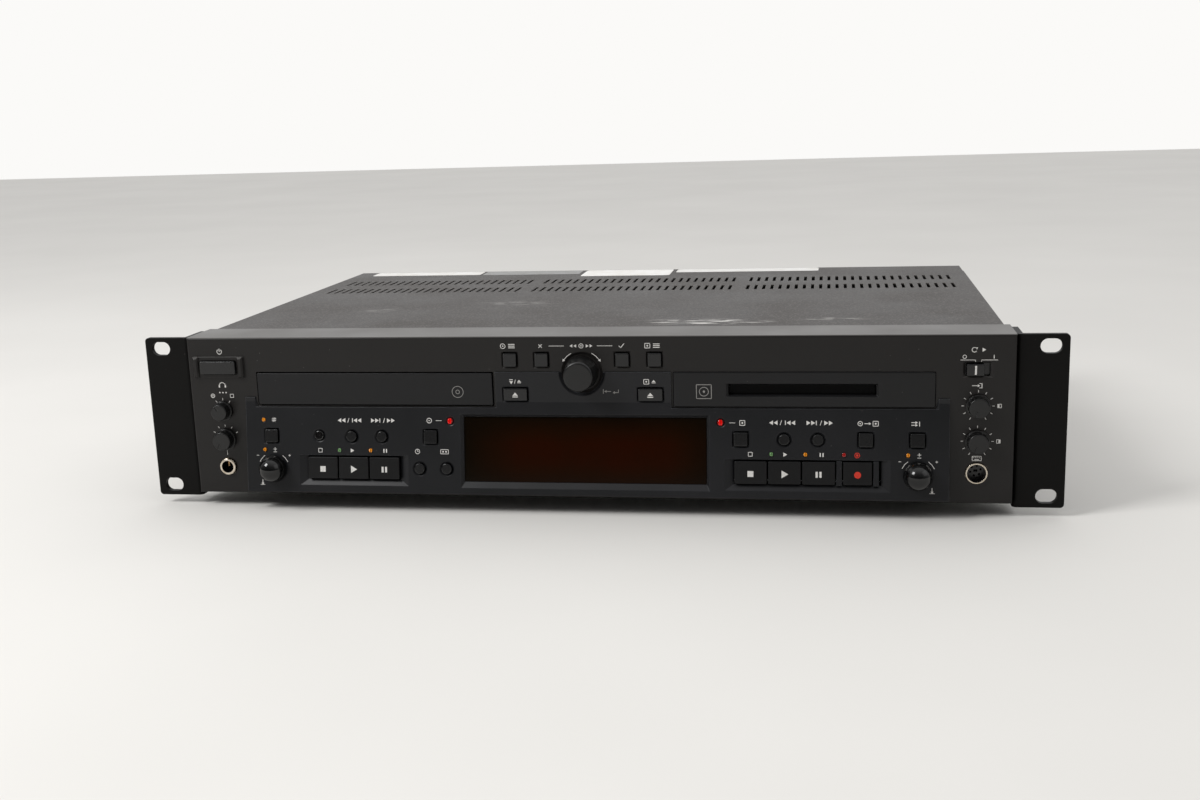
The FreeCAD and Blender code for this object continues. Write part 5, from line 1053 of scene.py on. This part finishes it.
for name, side in (("tray_button", -1), ("eject_button", 1)):
    marks = start_marks(name + "_mark")
    eject_sign(side * 35.4, 58.2, 3.0)
    end_marks(marks, WHITE_INK, name, PANEL_DEPTH, proud=CAP_PROUD)
marks = start_marks("switch_line")
block(196.6, 70.9, 0.9, 4.4)
end_marks(marks, WHITE_INK, "continuous_play_switch", FASCIA_DEPTH, proud=SWITCH_PROUD)

# %% [markdown]
# ### Signs for the kind of disc
#
# The tray's door has a plain ring with a hub for a disc, and the cartridge slot's bezel a plain
# square frame with a ring.

# %% Disc kind signs
marks = start_marks("tray_disc_sign")
for radius in (3.0, 1.0):
    bow(-66.4, 59.4, radius, 0, 360, 0.3)
end_marks(marks, GREY_INK, "tray", PANEL_DEPTH)
marks = start_marks("cartridge_kind_sign")
frame_of(62.8, 59.8, 7.6, 7.2, 0.35)
bow(62.8, 59.8, 2.3, 0, 360, 0.35)
dot(62.8, 59.8, 0.6)
end_marks(marks, GREY_INK, "deck", PANEL_DEPTH)
print(len(FILMS), "films of ink")

# %% [markdown]
# ## Screw recesses
#
# The sixteen screws have a cross recess. Its shade is painted as a thin dark cross on each pan head. One
# cross is built, copied with its own mesh and laid on each head: six on the ears' flanges, four on the lid's
# sides and six on the rear wall.

# %% Painted shade of the cross recesses on the screw heads
CROSS_LENGTH = 3.2
CROSS_WIDTH = 0.8
CROSS_THICKNESS = 0.03
EAR_HEAD_X = 221.0
SIDE_HEAD_X = 217.8
REAR_HEAD_Y = 281.8
# each head has its x, y and z and the side that it faces, with nought for the rear
HEADS = [(side * EAR_HEAD_X, y, z, side) for side in SIDES
         for y, z in ((36.0, 22.0), (36.0, 54.0), (52.0, 38.0))]
HEADS += [(side * SIDE_HEAD_X, y, 40.0, side) for side in SIDES for y in (150.0, 262.0)]
HEADS += [(x, REAR_HEAD_Y, 76.0, 0) for x in (-200.0, -70.0, 70.0, 200.0)]
HEADS += [(x, REAR_HEAD_Y, 12.0, 0) for x in (-200.0, 200.0)]
cross = start_marks("screw_recess_painted_shade")
block(0, 0, CROSS_LENGTH, CROSS_WIDTH, math.radians(30))
block(0, 0, CROSS_LENGTH, CROSS_WIDTH, math.radians(120))
bpy.ops.object.mode_set(mode="OBJECT")
recess = cross.modifiers.new("recess", "SOLIDIFY")
recess.thickness = CROSS_THICKNESS
recess.offset = 0.0
bpy.ops.object.modifier_apply(modifier=recess.name)
# the cross is painted shade of the recess, in the flap's matt black
cross.data.materials.append(SLOT_BLACK)
for i, (x, y, z, side) in enumerate(HEADS):
    laid = cross.copy()
    laid.data = cross.data.copy()
    laid.name = "screw_recess_painted_shade_" + str(i + 1)
    bpy.context.collection.objects.link(laid)
    facing = Matrix.Rotation(math.radians(90), 4, "Y" if side else "X")
    laid.data.transform(Matrix.Translation(place(x, y, z)) @ Matrix.Scale(MM, 4) @ facing)
    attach(laid, "deck")
bpy.data.objects.remove(cross)
print(len(HEADS), "screw heads have a cross")

# %% [markdown]
# ## The jack's contact
#
# A springy brass leaf hangs into the bore of the headphone jack. It is drawn and laid like a
# mark, with its own depth.

# %% Jack contact
LEAF_DEPTH = -2.4
leaf = start_marks("jack_contact")
block(PHONES_COLUMN, 19.2, 0.7, 2.6)
dot(PHONES_COLUMN, 17.9, 0.45)
end_marks(leaf, plated_metal("contact_brass", "#8a6a48", "#a98a66", 0.3), "deck", LEAF_DEPTH)

# %% [markdown]
# ## Labels on the lid
#
# Four thin paper labels lie along the lid's rear edge. They are blank. A label is a plane with
# rounded corners, bevelled by vertex, with a thickness of 0.12 mm.

# %% Blank labels
LABEL_THICKNESS = 0.12
LABEL_CORNER = 2.0
LID_TOP = 88.0
# each label has its left and right, its front and rear, and its colour
LABELS = [("left", -200.0, -120.0, 261.0, 278.5, "#e4e3e0"),
          ("silver", -118.0, -48.0, 259.0, 278.5, "#8d8d8c"),
          ("middle", -45.0, 17.0, 247.0, 278.5, "#ecebe8"),
          ("right", 20.0, 118.0, 262.0, 278.5, "#e4e3e0")]


def paper(name, chip):
    """Label stock: faint mottling and slightly yellowed patches."""
    material, tree, shader, where = new_material(name)
    mottle = add(tree, "ShaderNodeTexNoise", values={"Scale": per_metre(9.0), "Detail": 5.0},
                 links={"Vector": where}).outputs["Fac"]
    aged = [a * b for a, b in zip(linear(chip), (0.86, 0.84, 0.8, 1.0))]
    tree.links.new(ramp(tree, mottle, [(0.4, linear(chip)), (0.75, aged)]), shader.inputs["Base Color"])
    shader.inputs["Roughness"].default_value = 0.5
    return material


for word, x0, x1, y0, y1, chip in LABELS:
    deselect()
    middle = place((x0 + x1) / 2, (y0 + y1) / 2, LID_TOP)
    bpy.ops.mesh.primitive_plane_add(size=1.0, location=middle)
    label = bpy.context.object
    label.scale = ((x1 - x0) * MM, (y1 - y0) * MM, 1)
    label.name = "blank_label_" + word
    bpy.ops.object.transform_apply(location=True, rotation=True, scale=True)
    rounded = label.modifiers.new("corners", "BEVEL")
    rounded.affect = "VERTICES"
    rounded.width = LABEL_CORNER * MM
    rounded.segments = 4
    thick = label.modifiers.new("stock", "SOLIDIFY")
    thick.thickness = LABEL_THICKNESS * MM
    thick.offset = 1.0
    for modifier in (rounded, thick):
        bpy.ops.object.modifier_apply(modifier=modifier.name)
    label.data.materials.append(paper("label_paper_" + word, chip))
    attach(label, "deck")
print(len(LABELS), "blank labels")
